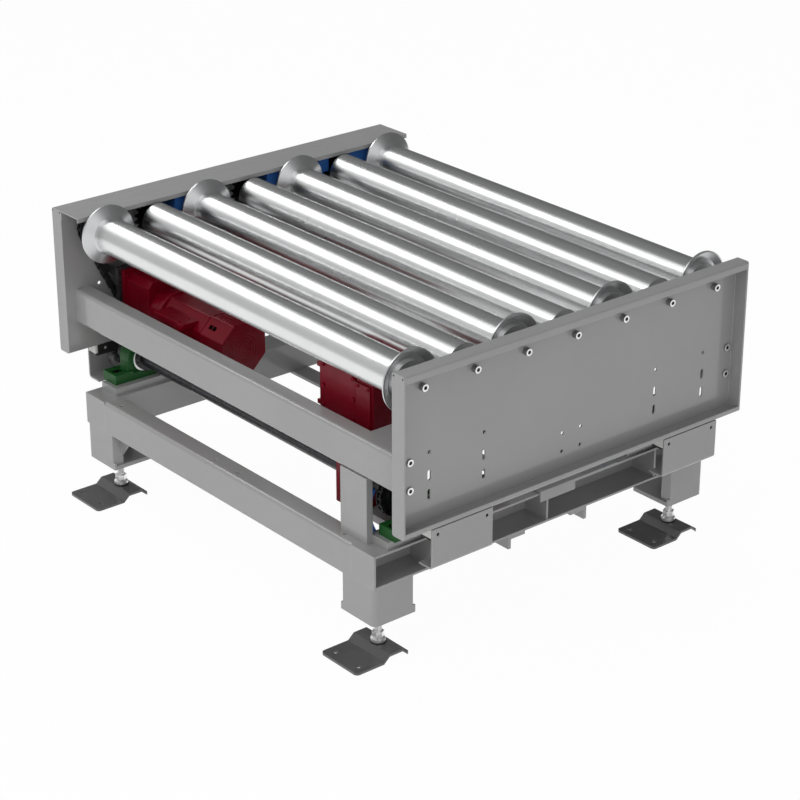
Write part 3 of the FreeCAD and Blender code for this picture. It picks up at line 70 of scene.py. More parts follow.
class Recipe:
    """Builds the node tree of one material, from an object's own coordinates."""

    def __init__(self, name: str) -> None:
        """Starts a material with one Principled shader.

        Args:
            name: The material's name.
        """
        self.material = bpy.data.materials.new(name)
        self.material.use_nodes = True
        self.tree = self.material.node_tree
        self.shader = self.tree.nodes["Principled BSDF"]
        self.place = self.tree.nodes.new("ShaderNodeTexCoord").outputs["Object"]

    def node(self, kind: str, **sockets: object) -> bpy.types.Node:
        """Adds a node and fills its inputs.

        Args:
            kind: The node's type name.
            **sockets: Input names, with _ for a space, and a value or an output to link.

        Returns:
            The new node.
        """
        made = self.tree.nodes.new(kind)
        for name, value in sockets.items():
            self.feed(made.inputs[name.replace("_", " ")], value)
        return made

    def feed(self, socket: bpy.types.NodeSocket, value: object) -> None:
        """Links an output to the input, or sets the input's own value."""
        if isinstance(value, bpy.types.NodeSocket):
            self.tree.links.new(value, socket)
        else:
            socket.default_value = value

    def noise(self, scale: float, detail: float = 2.0, stretch: tuple = (1, 1, 1)) -> bpy.types.NodeSocket:
        """Adds a noise pattern.

        Args:
            scale: Patches per metre.
            detail: Octaves of finer noise.
            stretch: How much faster the pattern runs along X, Y and Z.

        Returns:
            The noise value, about 0.25 to 0.75.
        """
        turned = self.node("ShaderNodeMapping", Vector=self.place, Scale=stretch)
        made = self.node("ShaderNodeTexNoise", Vector=turned.outputs["Vector"], Scale=scale, Detail=detail)
        return made.outputs["Fac"]

    def ramp(self, value: bpy.types.NodeSocket, source: tuple, target: tuple = (0.0, 1.0)) -> bpy.types.NodeSocket:
        """Maps a value from the source range to the target range."""
        made = self.node("ShaderNodeMapRange", Value=value, From_Min=source[0], From_Max=source[1],
                         To_Min=target[0], To_Max=target[1])
        return made.outputs["Result"]

    def spread(self, pattern: tuple, low: float = 0.0, high: float = 1.0) -> bpy.types.NodeSocket:
        """Gives a noise, named by its scale, detail and stretch, mapped to the range from low to high."""
        return self.ramp(self.noise(*pattern), NOISE_RANGE, (low, high))

    def blend(self, share: bpy.types.NodeSocket, first: object, second: object) -> bpy.types.NodeSocket:
        """Mixes two colours by a share from 0 to 1."""
        made = self.tree.nodes.new("ShaderNodeMix")
        made.data_type = "RGBA"
        self.feed(made.inputs[MIX_SHARE], share)
        self.feed(made.inputs[MIX_FIRST], first)
        self.feed(made.inputs[MIX_SECOND], second)
        return made.outputs[MIX_RESULT]

    def soft_edges(self, radius: float) -> tuple[bpy.types.NodeSocket, bpy.types.NodeSocket]:
        """Rounds sharp edges in the shading.

        Args:
            radius: The rounding's radius in metres.

        Returns:
            The rounded normal, and a mask that is 1 on the edges and 0 on flat faces, used to paint a highlight on
            the edges.
        """
        rounded = self.node("ShaderNodeBevel", Radius=radius)
        rounded.samples = EDGE_SAMPLES
        flat = self.node("ShaderNodeNewGeometry")
        agree = self.tree.nodes.new("ShaderNodeVectorMath")
        agree.operation = "DOT_PRODUCT"
        self.feed(agree.inputs[0], rounded.outputs["Normal"])
        self.feed(agree.inputs[1], flat.outputs["Normal"])
        return rounded.outputs["Normal"], self.ramp(agree.outputs["Value"], EDGE_HIGHLIGHT_RANGE)

    def surface(self, **sockets: object) -> None:
        """Fills inputs of the shader, named with _ for a space."""
        for name, value in sockets.items():
            self.feed(self.shader.inputs[name.replace("_", " ")], value)


def shade(colour: tuple, factor: float) -> tuple:
    """Gives a colour made lighter or darker, as RGBA."""
    return tuple(min(1.0, part * factor) for part in colour[:3]) + (1.0,)


@dataclass(frozen=True)
class Finish:
    """A procedural finish: patches of tone, soft edges painted in another brightness as a highlight, uneven gloss
    and a fine grain.

    A noise is given as its scale and detail, and a range as the low and high end of what it is mapped to.
    """

    name: str
    colour: tuple
    roughness: float
    metallic: float = 0.0
    specular: float = 0.5
    tint: tuple = WHITE
    coat: float = 0.0
    coat_roughness: float = 0.12
    edge_radius: float = 0.001
    edge_highlight_gain: float = 1.0
    tone_noise: tuple = (25.0, 3.0)
    tone_range: tuple = (1.0, 1.0)
    gloss_noise: tuple = (80.0, 2.0)
    gloss_range: tuple = (0.0, 0.0)
    grain_noise: tuple = (900.0, 1.0)
    grain_depth: float = 0.00003

    def material(self) -> bpy.types.Material:
        """Builds the material, or gives it back if it exists."""
        return bpy.data.materials.get(self.name) or self.build()

    def gloss(self, recipe: Recipe) -> bpy.types.NodeSocket:
        """Gives the uneven roughness."""
        low, high = self.gloss_range
        return recipe.spread(self.gloss_noise, self.roughness + low, self.roughness + high)

    def tones(self, recipe: Recipe) -> bpy.types.NodeSocket:
        """Gives the colour in its lighter and darker patches."""
        dark, light = (shade(self.colour, factor) for factor in self.tone_range)
        return recipe.blend(recipe.spread(self.tone_noise), dark, light)

    def build(self) -> bpy.types.Material:
        """Builds the material's nodes."""
        recipe = Recipe(self.name)
        normal, edge = recipe.soft_edges(self.edge_radius)
        grain = recipe.node("ShaderNodeBump", Height=recipe.noise(*self.grain_noise), Distance=self.grain_depth,
                            Normal=normal)
        # Blending towards a brighter copy of the colour on the edge mask paints a highlight along the edges.
        recipe.surface(Base_Color=recipe.blend(edge, self.tones(recipe), shade(self.colour, self.edge_highlight_gain)),
                       Roughness=self.gloss(recipe), Normal=grain.outputs["Normal"], Metallic=self.metallic,
                       Specular_IOR_Level=self.specular, Specular_Tint=self.tint)
        if self.coat:
            recipe.surface(Coat_Weight=self.coat, Coat_Roughness=self.coat_roughness, Coat_Normal=normal)
        return recipe.material


@dataclass(frozen=True)
class PowderCoat(Finish):
    """Baked powder paint: a satin skin with a fine orange peel, and a painted highlight on its edges."""

    coat: float = 0.80
    coat_roughness: float = 0.11
    edge_radius: float = 0.0012
    edge_highlight_gain: float = 1.35
    tone_noise: tuple = (3.5, 3.0)
    tone_range: tuple = (0.955, 1.02)
    gloss_noise: tuple = (40.0, 4.0)
    gloss_range: tuple = (-0.04, 0.05)
    grain_noise: tuple = (700.0, 1.0)


@dataclass(frozen=True)
class BrightTube(Finish):
    """Bright zinc on drawn tube: smooth, with a faint cloudiness, and dark oil on the sprocket heads behind it."""

    metallic: float = 1.0
    tone_noise: tuple = (9.0, 3.0, (1.0, 3.0, 3.0))
    tone_range: tuple = (0.975, 1.02)
    gloss_noise: tuple = (5.0, 2.0)
    gloss_range: tuple = (-0.005, 0.005)
    tube_start: float = -0.5365
    oil_fade: float = 0.0005
    oiled: tuple = (0.035, 0.035, 0.037, 1.0)

    def build(self) -> bpy.types.Material:
        """Builds the plated metal's nodes."""
        recipe = Recipe(self.name)
        along = recipe.node("ShaderNodeSeparateXYZ", Vector=recipe.place).outputs["X"]
        head = recipe.ramp(along, (self.tube_start, self.tube_start - self.oil_fade))
        recipe.surface(Base_Color=recipe.blend(head, self.tones(recipe), self.oiled), Roughness=self.gloss(recipe),
                       Metallic=self.metallic)
        return recipe.material


@dataclass(frozen=True)
class TurnedSteel(Finish):
    """Bare steel from the lathe or the press, with soft edges that carry a painted highlight, and light handling
    marks.
    """

    metallic: float = 1.0
    edge_radius: float = 0.0006
    edge_highlight_gain: float = 1.2
    tone_noise: tuple = (60.0, 4.0)
    tone_range: tuple = (0.9, 1.06)
    gloss_noise: tuple = (180.0, 3.0)
    gloss_range: tuple = (-0.04, 0.05)
    grain_noise: tuple = (180.0, 3.0)
    grain_depth: float = 0.00001


@dataclass(frozen=True)
class GlossPaint(Finish):
    """Thick machine enamel on castings: glossy over a slightly rough surface, with a painted highlight on its
    edges.
    """

    specular: float = 0.30
    edge_radius: float = 0.002
    edge_highlight_gain: float = 1.8
    tone_noise: tuple = (14.0, 3.0)
    tone_range: tuple = (0.88, 1.12)
    gloss_noise: tuple = (70.0, 3.0)
    gloss_range: tuple = (-0.06, 0.08)
    grain_noise: tuple = (150.0, 3.0)
    grain_depth: float = 0.00004


@dataclass(frozen=True)
class OiledSteel(Finish):
    """Black chain and strip steel with a film of oil, its edges painted brighter, partly as wear and partly as a
    painted highlight.
    """

    metallic: float = 0.6
    edge_radius: float = 0.0005
    edge_highlight_gain: float = 3.5
    tone_noise: tuple = (90.0, 4.0)
    tone_range: tuple = (0.7, 1.5)
    gloss_noise: tuple = (120.0, 3.0)
    gloss_range: tuple = (-0.08, 0.12)
    grain_noise: tuple = (260.0, 2.0)


@dataclass(frozen=True)
class MouldedPlastic(Finish):
    """Machined or moulded plastic: matt, with a fine even grain and a painted highlight on its edges."""

    edge_highlight_gain: float = 1.6
    tone_range: tuple = (0.92, 1.08)
    gloss_range: tuple = (-0.05, 0.06)


# The frame paint's brighter edges are a painted highlight along the bends.
FRAME_PAINT = PowderCoat("grey_powder_coat", (0.316, 0.316, 0.316), 0.45, edge_radius=0.0020, edge_highlight_gain=1.6)
ROLLER_ZINC = BrightTube("bright_zinc_tube", (0.80, 0.81, 0.81), 0.27)
FLANGE_ZINC = BrightTube("satin_zinc_flange", (0.66, 0.67, 0.675), 0.30)
BARE_STEEL = TurnedSteel("turned_steel", (0.66, 0.66, 0.66), 0.32)
SCREW_ZINC = TurnedSteel("zinc_screw_steel", (0.93, 0.93, 0.93), 0.36)
# Grey for the sides of zinc screw heads: painted shade of the same zinc as SCREW_ZINC.
SCREW_SIDE_SHADE = TurnedSteel("screw_side_painted_shade", (0.36, 0.36, 0.36), 0.42)
CHAIN_STEEL = OiledSteel("oiled_chain_steel", (0.030, 0.030, 0.032), 0.36)
SHAFT_STEEL = OiledSteel("dark_shaft_steel", (0.042, 0.042, 0.046), 0.34)
SCREW_BLACK = OiledSteel("black_screw_steel", (0.012, 0.012, 0.012), 0.40)
WELD_PAINT = PowderCoat("painted_weld", (0.35, 0.35, 0.35), 0.52, grain_noise=(900.0, 1.0))
MOTOR_PAINT = GlossPaint("crimson_machine_enamel", (0.150, 0.0012, 0.0085), 0.34, specular=0.34,
                         tint=(1.0, 0.05, 0.12, 1.0), coat=0.17)
BLOCK_PAINT = GlossPaint("green_casting_enamel", (0.010, 0.082, 0.016), 0.46)
BLUE_PLASTIC = MouldedPlastic("blue_plastic", (0.004, 0.048, 0.235), 0.42)
BLACK_PLASTIC = MouldedPlastic("black_sliding_plastic", (0.016, 0.016, 0.016), 0.45)
WHITE_PLASTIC = MouldedPlastic("white_plastic", (0.80, 0.80, 0.78), 0.42, edge_highlight_gain=1.1)
SEAL_RUBBER = MouldedPlastic("black_seal_rubber", (0.012, 0.012, 0.012), 0.55)
# Near-black without gloss: painted shade standing in for the inside of openings.
PAINTED_HOLE_SHADE = MouldedPlastic("painted_hole_shade", (0.003, 0.002, 0.002), 0.9, edge_highlight_gain=1.0, specular=0.0)
# The foot plates' edges are painted much brighter as a highlight.
FOOT_STEEL = PowderCoat("dark_foot_steel", (0.066, 0.063, 0.063), 0.50, edge_highlight_gain=2.2)


def dress(finish: Finish, *nodes: str) -> None:
    """Gives the frame's own nodes a finish.

    Args:
        finish: The finish.
        *nodes: The nodes' names.
    """
    for name in nodes:
        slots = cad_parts[name].data.materials
        slots.clear()
        slots.append(finish.material())


def turned(axis: tuple) -> Matrix:
    """Gives the turn that takes +Z to an axis."""
    return Vector(axis).to_track_quat("Z", "Y").to_matrix().to_4x4()


def stand(name: str, data: object) -> bpy.types.Object:
    """Makes an object of the data and puts it in the scene."""
    made = bpy.data.objects.new(name, data)
    bpy.context.scene.collection.objects.link(made)
    return made


def board(name: str, matrix: Matrix) -> tuple[bpy.types.Object, bpy.types.NodeTree]:
    """Makes a flat board of the studio with a material of its own.

    Args:
        name: The board's name.
        matrix: What stretches, turns and moves it, from a square of one metre on the floor.

    Returns:
        The board and its material's node tree.
    """
    shape = bmesh.new()
    bmesh.ops.create_grid(shape, x_segments=1, y_segments=1, size=0.5)
    bmesh.ops.transform(shape, matrix=matrix, verts=shape.verts)
    mesh = bpy.data.meshes.new(name)
    shape.to_mesh(mesh)
    shape.free()
    material = bpy.data.materials.new(name)
    material.use_nodes = True
    mesh.materials.append(material)
    made = stand(name, mesh)
    return made, material.node_tree


class Piece:
    """A new piece of the conveyor: a mesh that is shaped with mesh operators and then rides on a body."""

    SOCKET_WALL = 0.45
    SOCKET_DEPTH = 0.6
    DOUBLES = 1e-7

    def __init__(self, name: str, body: str, slot: Slot, finish: Finish) -> None:
        """Starts an empty piece.

        Args:
            name: The piece's name.
            body: The body that carries it.
            slot: The record's slot that it belongs to. It is stored, but not used.
            finish: Its finish.
        """
        self.name = name
        self.body = body
        self.slot = slot
        self.finish = finish
        self.shape = bmesh.new()

    def drum(self, place: tuple, axis: tuple, radius: float, length: float, sides: int = 24,
             tip: float = 1.0) -> list[bmesh.types.BMVert]:
        """Adds a drum or a prism.

        Args:
            place: The middle of its foot.
            axis: The direction that it stands in.
            radius: The radius at its foot.
            length: Its length.
            sides: How many sides it has.
            tip: The share of the radius that is left at its far end.

        Returns:
            Its corners.
        """
        matrix = Matrix.Translation(place) @ turned(axis) @ Matrix.Translation((0.0, 0.0, length / 2))
        made = bmesh.ops.create_cone(self.shape, cap_ends=True, segments=sides, radius1=radius,
                                     radius2=radius * tip, depth=length, matrix=matrix)
        return made["verts"]

    def block(self, low: tuple, high: tuple, soft: float = 0.0) -> list[bmesh.types.BMVert]:
        """Adds a block between two corners.

        Args:
            low: The lowest corner.
            high: The highest corner.
            soft: The width of the bevel on its edges.

        Returns:
            Its corners before the bevel.
        """
        low, high = Vector(low), Vector(high)
        matrix = Matrix.Translation((low + high) / 2) @ Matrix.Diagonal((*(high - low), 1.0))
        verts = bmesh.ops.create_cube(self.shape, size=1.0, matrix=matrix)["verts"]
        if soft:
            edges = list({edge for vert in verts for edge in vert.link_edges})
            bmesh.ops.bevel(self.shape, geom=edges, offset=soft, affect="EDGES", segments=2, profile=0.5,
                            material=-1)
        return verts

    def lathe(self, place: tuple, axis: tuple, outline: list, steps: int = 32) -> None:
        """Adds a turned form.

        Args:
            place: The place that the outline is measured from.
            axis: The direction of its axis.
            outline: Pairs of a distance along the axis and a radius, closed where the last meets the first.
            steps: How many steps the turn has.
        """
        verts = [self.shape.verts.new((radius, 0.0, along)) for along, radius in outline]
        edges = [self.shape.edges.new(pair) for pair in zip(verts, verts[1:])]
        if outline[0][1] and outline[-1][1]:
            edges.append(self.shape.edges.new((verts[-1], verts[0])))
        bmesh.ops.spin(self.shape, geom=verts + edges, cent=(0, 0, 0), axis=(0, 0, 1), angle=math.tau,
                       steps=steps, use_merge=True)
        made = [vert for vert in self.shape.verts if vert.tag is False]
        bmesh.ops.transform(self.shape, matrix=Matrix.Translation(place) @ turned(axis), verts=made)
        for vert in self.shape.verts:
            vert.tag = True

    def fix(self) -> None:
        """Marks all that is there as finished, so that the next turned form leaves it alone."""
        for vert in self.shape.verts:
            vert.tag = True

    def screw(self, seat: tuple, axis: tuple, radius: float, height: float) -> None:
        """Adds a screw head with a hexagon socket.

        Args:
            seat: The middle of the face that it stands on.
            axis: The direction that its head points in.
            radius: The head's radius.
            height: The head's height.
        """
        verts = self.drum(seat, axis, radius, height, 16)
        faces = [face for vert in verts for face in vert.link_faces]
        top = max(faces, key=lambda face: face.normal.dot(Vector(axis)))
        bmesh.ops.inset_region(self.shape, faces=[top], thickness=radius * self.SOCKET_WALL, depth=0.0)
        bmesh.ops.translate(self.shape, verts=top.verts, vec=Vector(axis) * -height * self.SOCKET_DEPTH)
        self.fix()

    def done(self, soft: float = 0.0, angle: float = 35.0) -> bpy.types.Object:
        """Makes the object, shades it and sets it on its body.

        Args:
            soft: The width of a bevel on all sharp edges, or 0 for none.
            angle: Edges flatter than this many degrees are shaded smooth.

        Returns:
            The finished object.
        """
        bmesh.ops.remove_doubles(self.shape, verts=self.shape.verts, dist=self.DOUBLES)
        bmesh.ops.recalc_face_normals(self.shape, faces=self.shape.faces)
        mesh = bpy.data.meshes.new(self.name)
        self.shape.to_mesh(mesh)
        self.shape.free()
        mesh.shade_smooth()
        mesh.set_sharp_from_angle(angle=math.radians(angle))
        mesh.materials.append(self.finish.material())
        made = stand(self.name, mesh)
        if soft:
            bevel = made.modifiers.new("soft_edges", "BEVEL")
            bevel.width = soft
            bevel.segments = 2
            bevel.limit_method = "ANGLE"
        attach(made, self.body)
        return made


@dataclass
class ChainRun:
    """The small parts of one chain: its rollers, its pins and the outer plates of every other link.

    The phase is the share of a link that moves all pins along, so that the rollers lie between the teeth.
    """

    name: str
    body: str
    across: float
    centres: tuple
    teeth: int
    pitch: float = 0.015875
    roller: float = 0.0050
    pin: float = 0.0026
    plate: float = 0.0062
    row: float = 0.0070
    wall: float = 0.0008
    roller_width: float = 0.0096
    pin_end: float = 0.0001
    pin_sides: int = 8
    sides: int = 10
    phase: float = 0.5

    def places(self) -> list[tuple]:
        """Finds each pin's place along Y and Z."""
        radius = self.pitch / (2 * math.sin(math.pi / self.teeth))
        runs = []
        for k, (y, z) in enumerate(self.centres):
            before, after = self.centres[k - 1], self.centres[(k + 1) % len(self.centres)]
            start = math.atan2(z - before[1], y - before[0]) - math.pi / 2
            finish = math.atan2(after[1] - z, after[0] - y) - math.pi / 2
            finish += math.tau if finish < start else 0.0
            runs.append((radius * (finish - start), y, z, start, True))
            runs.append((math.hypot(after[0] - y, after[1] - z), y, z, finish, False))
        total = sum(run[0] for run in runs)
        links = 2 * round(total / (2 * self.pitch))
        found = []
        for link in range(links):
            rest = total * (link + self.phase) / links
            for length, y, z, angle, curved in runs:
                if rest <= length:
                    break
                rest -= length
            if curved:
                angle, rest = angle + rest / radius, 0.0
            found.append((y + radius * math.cos(angle) - rest * math.sin(angle),
                          z + radius * math.sin(angle) + rest * math.cos(angle)))
        return found

    def build(self) -> None:
        """Makes the rollers, pins and outer plates."""
        places = self.places()
        pins = Piece(f"{self.name}_pins", self.body, Slot.BLACK_STEEL, CHAIN_STEEL)
        plates = Piece(f"{self.name}_outer_plates", self.body, Slot.BLACK_STEEL, CHAIN_STEEL)
        reach = self.row + self.wall
        for y, z in places:
            pins.drum((self.across - reach - self.pin_end, y, z), (1, 0, 0), self.pin,
                      2 * reach + 2 * self.pin_end, self.pin_sides)
            pins.drum((self.across - self.roller_width / 2, y, z), (1, 0, 0), self.roller, self.roller_width,
                      self.sides)
        for first, second in zip(places[::2], places[1::2]):
            for start in (self.across - reach, self.across + self.row):
                self.outer_plate(plates, start, first, second)
        pins.done()
        plates.done()

    def outer_plate(self, piece: Piece, start: float, first: tuple, second: tuple) -> None:
        """Adds one plate round two pins.

        Args:
            piece: The piece that it belongs to.
            start: Where its lower face lies along X.
            first: The first pin's place.
            second: The second pin's place.
        """
        verts = []
        for y, z in (first, second):
            verts += piece.drum((start, y, z), (1, 0, 0), self.plate, self.wall, self.sides)
        faces = list({face for vert in verts for face in vert.link_faces})
        bmesh.ops.delete(piece.shape, geom=faces, context="FACES_ONLY")
        hull = bmesh.ops.convex_hull(piece.shape, input=verts)
        unused = set(hull["geom_interior"] + hull["geom_unused"])
        spare = [item for item in unused if isinstance(item, bmesh.types.BMVert)]
        bmesh.ops.delete(piece.shape, geom=spare, context="VERTS")


@dataclass
class SideFrames:
    """The two edge-folded side channels, the cross beams between them and their screws."""

    nodes: tuple = ("side_channel_front", "side_channel_rear", "cross_beam_near", "cross_beam_far",
                    "chain_cover", "guide_plates")
    web: float = 0.6205
    wall: float = 0.004
    head: float = 0.013
    beam_head: float = 0.004
    head_radius: float = 0.0086
    socket: float = 0.0046
    axis_height: float = ROLLER_AXIS_HEIGHT
    pitch: float = 0.144
    beam_screws: tuple = ((-0.464, 0.5015), (-0.464, 0.4363), (0.487, 0.5015), (0.487, 0.4363))
    deck_end: float = 0.5075
    top: float = 0.7175
    sunk: float = 0.001
    relief: float = 0.0021
    relief_places: tuple = (0.0055, 0.0345)
    cover_screw_count: int = 6
    cover_screw_margin: float = 0.06
    crank_plate: tuple = (0.6545, 0.345, 0.3315)

    def screw_places(self) -> list[tuple]:
        """Gives the places of the deck screws along Y and Z, each with the length of its head."""
        rollers = [(self.pitch * (number - 4), self.axis_height, self.head) for number in ROLLERS]
        return rollers + [(y, z, self.beam_head) for y, z in self.beam_screws]

    def build(self) -> None:
        """Dresses the channels, beams and screws and adds their small parts."""
        dress(FRAME_PAINT, *self.nodes)
        # The frame's own screws take the grey of painted shade.
        dress(SCREW_SIDE_SHADE, "deck_screws")
        dress(SHAFT_STEEL, "drive_mount")
        dress(BLACK_PLASTIC, "slide_strips")
        dress(WHITE_PLASTIC, "strip_blocks")
        self.deck_screws()
        self.corner_relief_shade()
        self.cover_screws()
        self.plate_screws()

    def deck_screws(self) -> None:
        """Makes the socket-head screws of the rollers and beams: grey sides that are painted shade of the zinc
        head, a bright zinc face ring and a near-black disc of painted shade in the socket.
        """
        # The heads' sides take a grey that is painted shade of the zinc screws.
        heads = Piece("deck_screw_heads", "deck", Slot.STEEL, SCREW_SIDE_SHADE)
        rings = Piece("deck_screw_faces", "deck", Slot.STEEL, SCREW_ZINC)
        # A thin near-black disc at each face: painted shade standing in for the hexagon socket's depth.
        socket_shade = Piece("deck_screw_socket_shade", "deck", Slot.BLACK_STEEL, SCREW_BLACK)
        for side in (1, -1):
            for y, z, head in self.screw_places():
                heads.drum((side * (self.web - self.sunk), y, z), (side, 0, 0), self.head_radius,
                           head + self.wall + self.sunk)
                face = side * (self.web + self.wall + head)
                rings.lathe((face, y, z), (side, 0, 0),
                            [(0.0, self.socket), (0.0, self.head_radius), (0.0004, self.head_radius - 0.0004),
                             (0.0004, self.socket)], 24)
                socket_shade.drum((face, y, z), (side, 0, 0), self.socket, 0.0002, 6)
        heads.done()
        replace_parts(rings.done(), "deck_screws")
        socket_shade.done()

    def corner_relief_shade(self) -> None:
        """Makes thin near-black discs at the corners of each channel, where its bends meet: painted shade standing
        in for the relief openings.
        """
        hole_shade = Piece("corner_relief_shade", "deck", Slot.BLACK_STEEL, PAINTED_HOLE_SHADE)
        for side in (1, -1):
            for end in (1, -1):
                for shift in self.relief_places:
                    place = (side * (self.web + shift), end * (self.deck_end - 0.0004), self.top - 0.0060)
                    hole_shade.drum(place, (0, end, 0), self.relief, 0.0005, 12)
        hole_shade.done()

    def cover_screws(self) -> None:
        """Makes the pan-head screws that hold the chain cover to the rear channel."""
        heads = Piece("chain_cover_screws", "deck", Slot.STEEL, SCREW_ZINC)
        start = self.cover_screw_margin - self.deck_end
        for k in range(self.cover_screw_count):
            y = start - k * 2 * start / (self.cover_screw_count - 1)
            heads.screw((-self.web + 0.0025, y, self.top - 0.013), (1, 0, 0), 0.0042, 0.0024)
        heads.done()

    def plate_screws(self) -> None:
        """Makes the countersunk screws of the plates that enclose the crank rollers."""
        heads = Piece("guide_plate_screws", "deck", Slot.BLACK_STEEL, SCREW_BLACK)
        x, y, z = self.crank_plate
        for side in (1, -1):
            for end in (1, -1):
                for inset in (-0.069, 0.069):
                    heads.screw((side * x, end * y + inset, z), (side, 0, 0), 0.0038, 0.0030)
        heads.done()


@dataclass
class RollerBed:
    """The seven driven rollers with their flanges, axles, bearings and chains."""

    pitch: float = 0.144
    axis_height: float = ROLLER_AXIS_HEIGHT
    front: float = 0.589
    rear: float = -0.536
    tube: float = 0.0445
    flange_inset: float = 0.0205
    transfer_chain: float = -0.575
    drive_chain: float = -0.598
    drive_axis: tuple = (-0.335, 0.475)
    teeth: int = 14
    drive_phase: float = 0.07

    def build(self) -> None:
        """Dresses rollers, flanges, axles and chains, and adds seals, weld beads and chain parts."""
        dress(ROLLER_ZINC, *[f"roller_{number}" for number in ROLLERS])
        dress(FLANGE_ZINC, *[f"roller_flanges_{number}" for number in FLANGED_ROLLERS])
        dress(BARE_STEEL, "roller_axles", "roller_bearings", "drive_sprocket")
        dress(CHAIN_STEEL, "transfer_chain", "drive_chain")
        dress(BLUE_PLASTIC, "chain_guides")
        self.seals()
        self.beads()
        first, last = ((way * 3 * self.pitch, self.axis_height) for way in (-1, 1))
        ChainRun("transfer_chain", "deck", self.transfer_chain, (first, last), self.teeth).build()
        ChainRun("drive_chain", "deck", self.drive_chain, (self.drive_axis, first), self.teeth,
                 phase=self.drive_phase).build()

    def seals(self) -> None:
        """Makes the black seals of the roller bearings at the front ends."""
        for number in ROLLERS:
            seal = Piece(f"roller_seal_{number}", f"roller_body_{number}", Slot.BLACK_PLASTIC, SEAL_RUBBER)
            seal.lathe((self.front - 0.0021, self.pitch * (number - 4), self.axis_height), (1, 0, 0),
                       [(0.0, 0.0104), (0.0, 0.0234), (0.0012, 0.0234), (0.0018, 0.0220), (0.0018, 0.0110)], 40)
            seal.done()

    def beads(self) -> None:
        """Makes the weld beads between the tubes and their flanges."""
        for number in FLANGED_ROLLERS:
            bead = Piece(f"flange_bead_{number}", f"roller_body_{number}", Slot.ZINC, FLANGE_ZINC)
            for edge, way in ((self.front - self.flange_inset, -1), (self.rear + self.flange_inset, 1)):
                bead.lathe((edge, self.pitch * (number - 4), self.axis_height), (way, 0, 0),
                           [(-0.0004, self.tube - 0.0002), (-0.0004, self.tube + 0.0011),
                            (0.0006, self.tube + 0.0008), (0.0014, self.tube - 0.0002)], 64)
            bead.done()


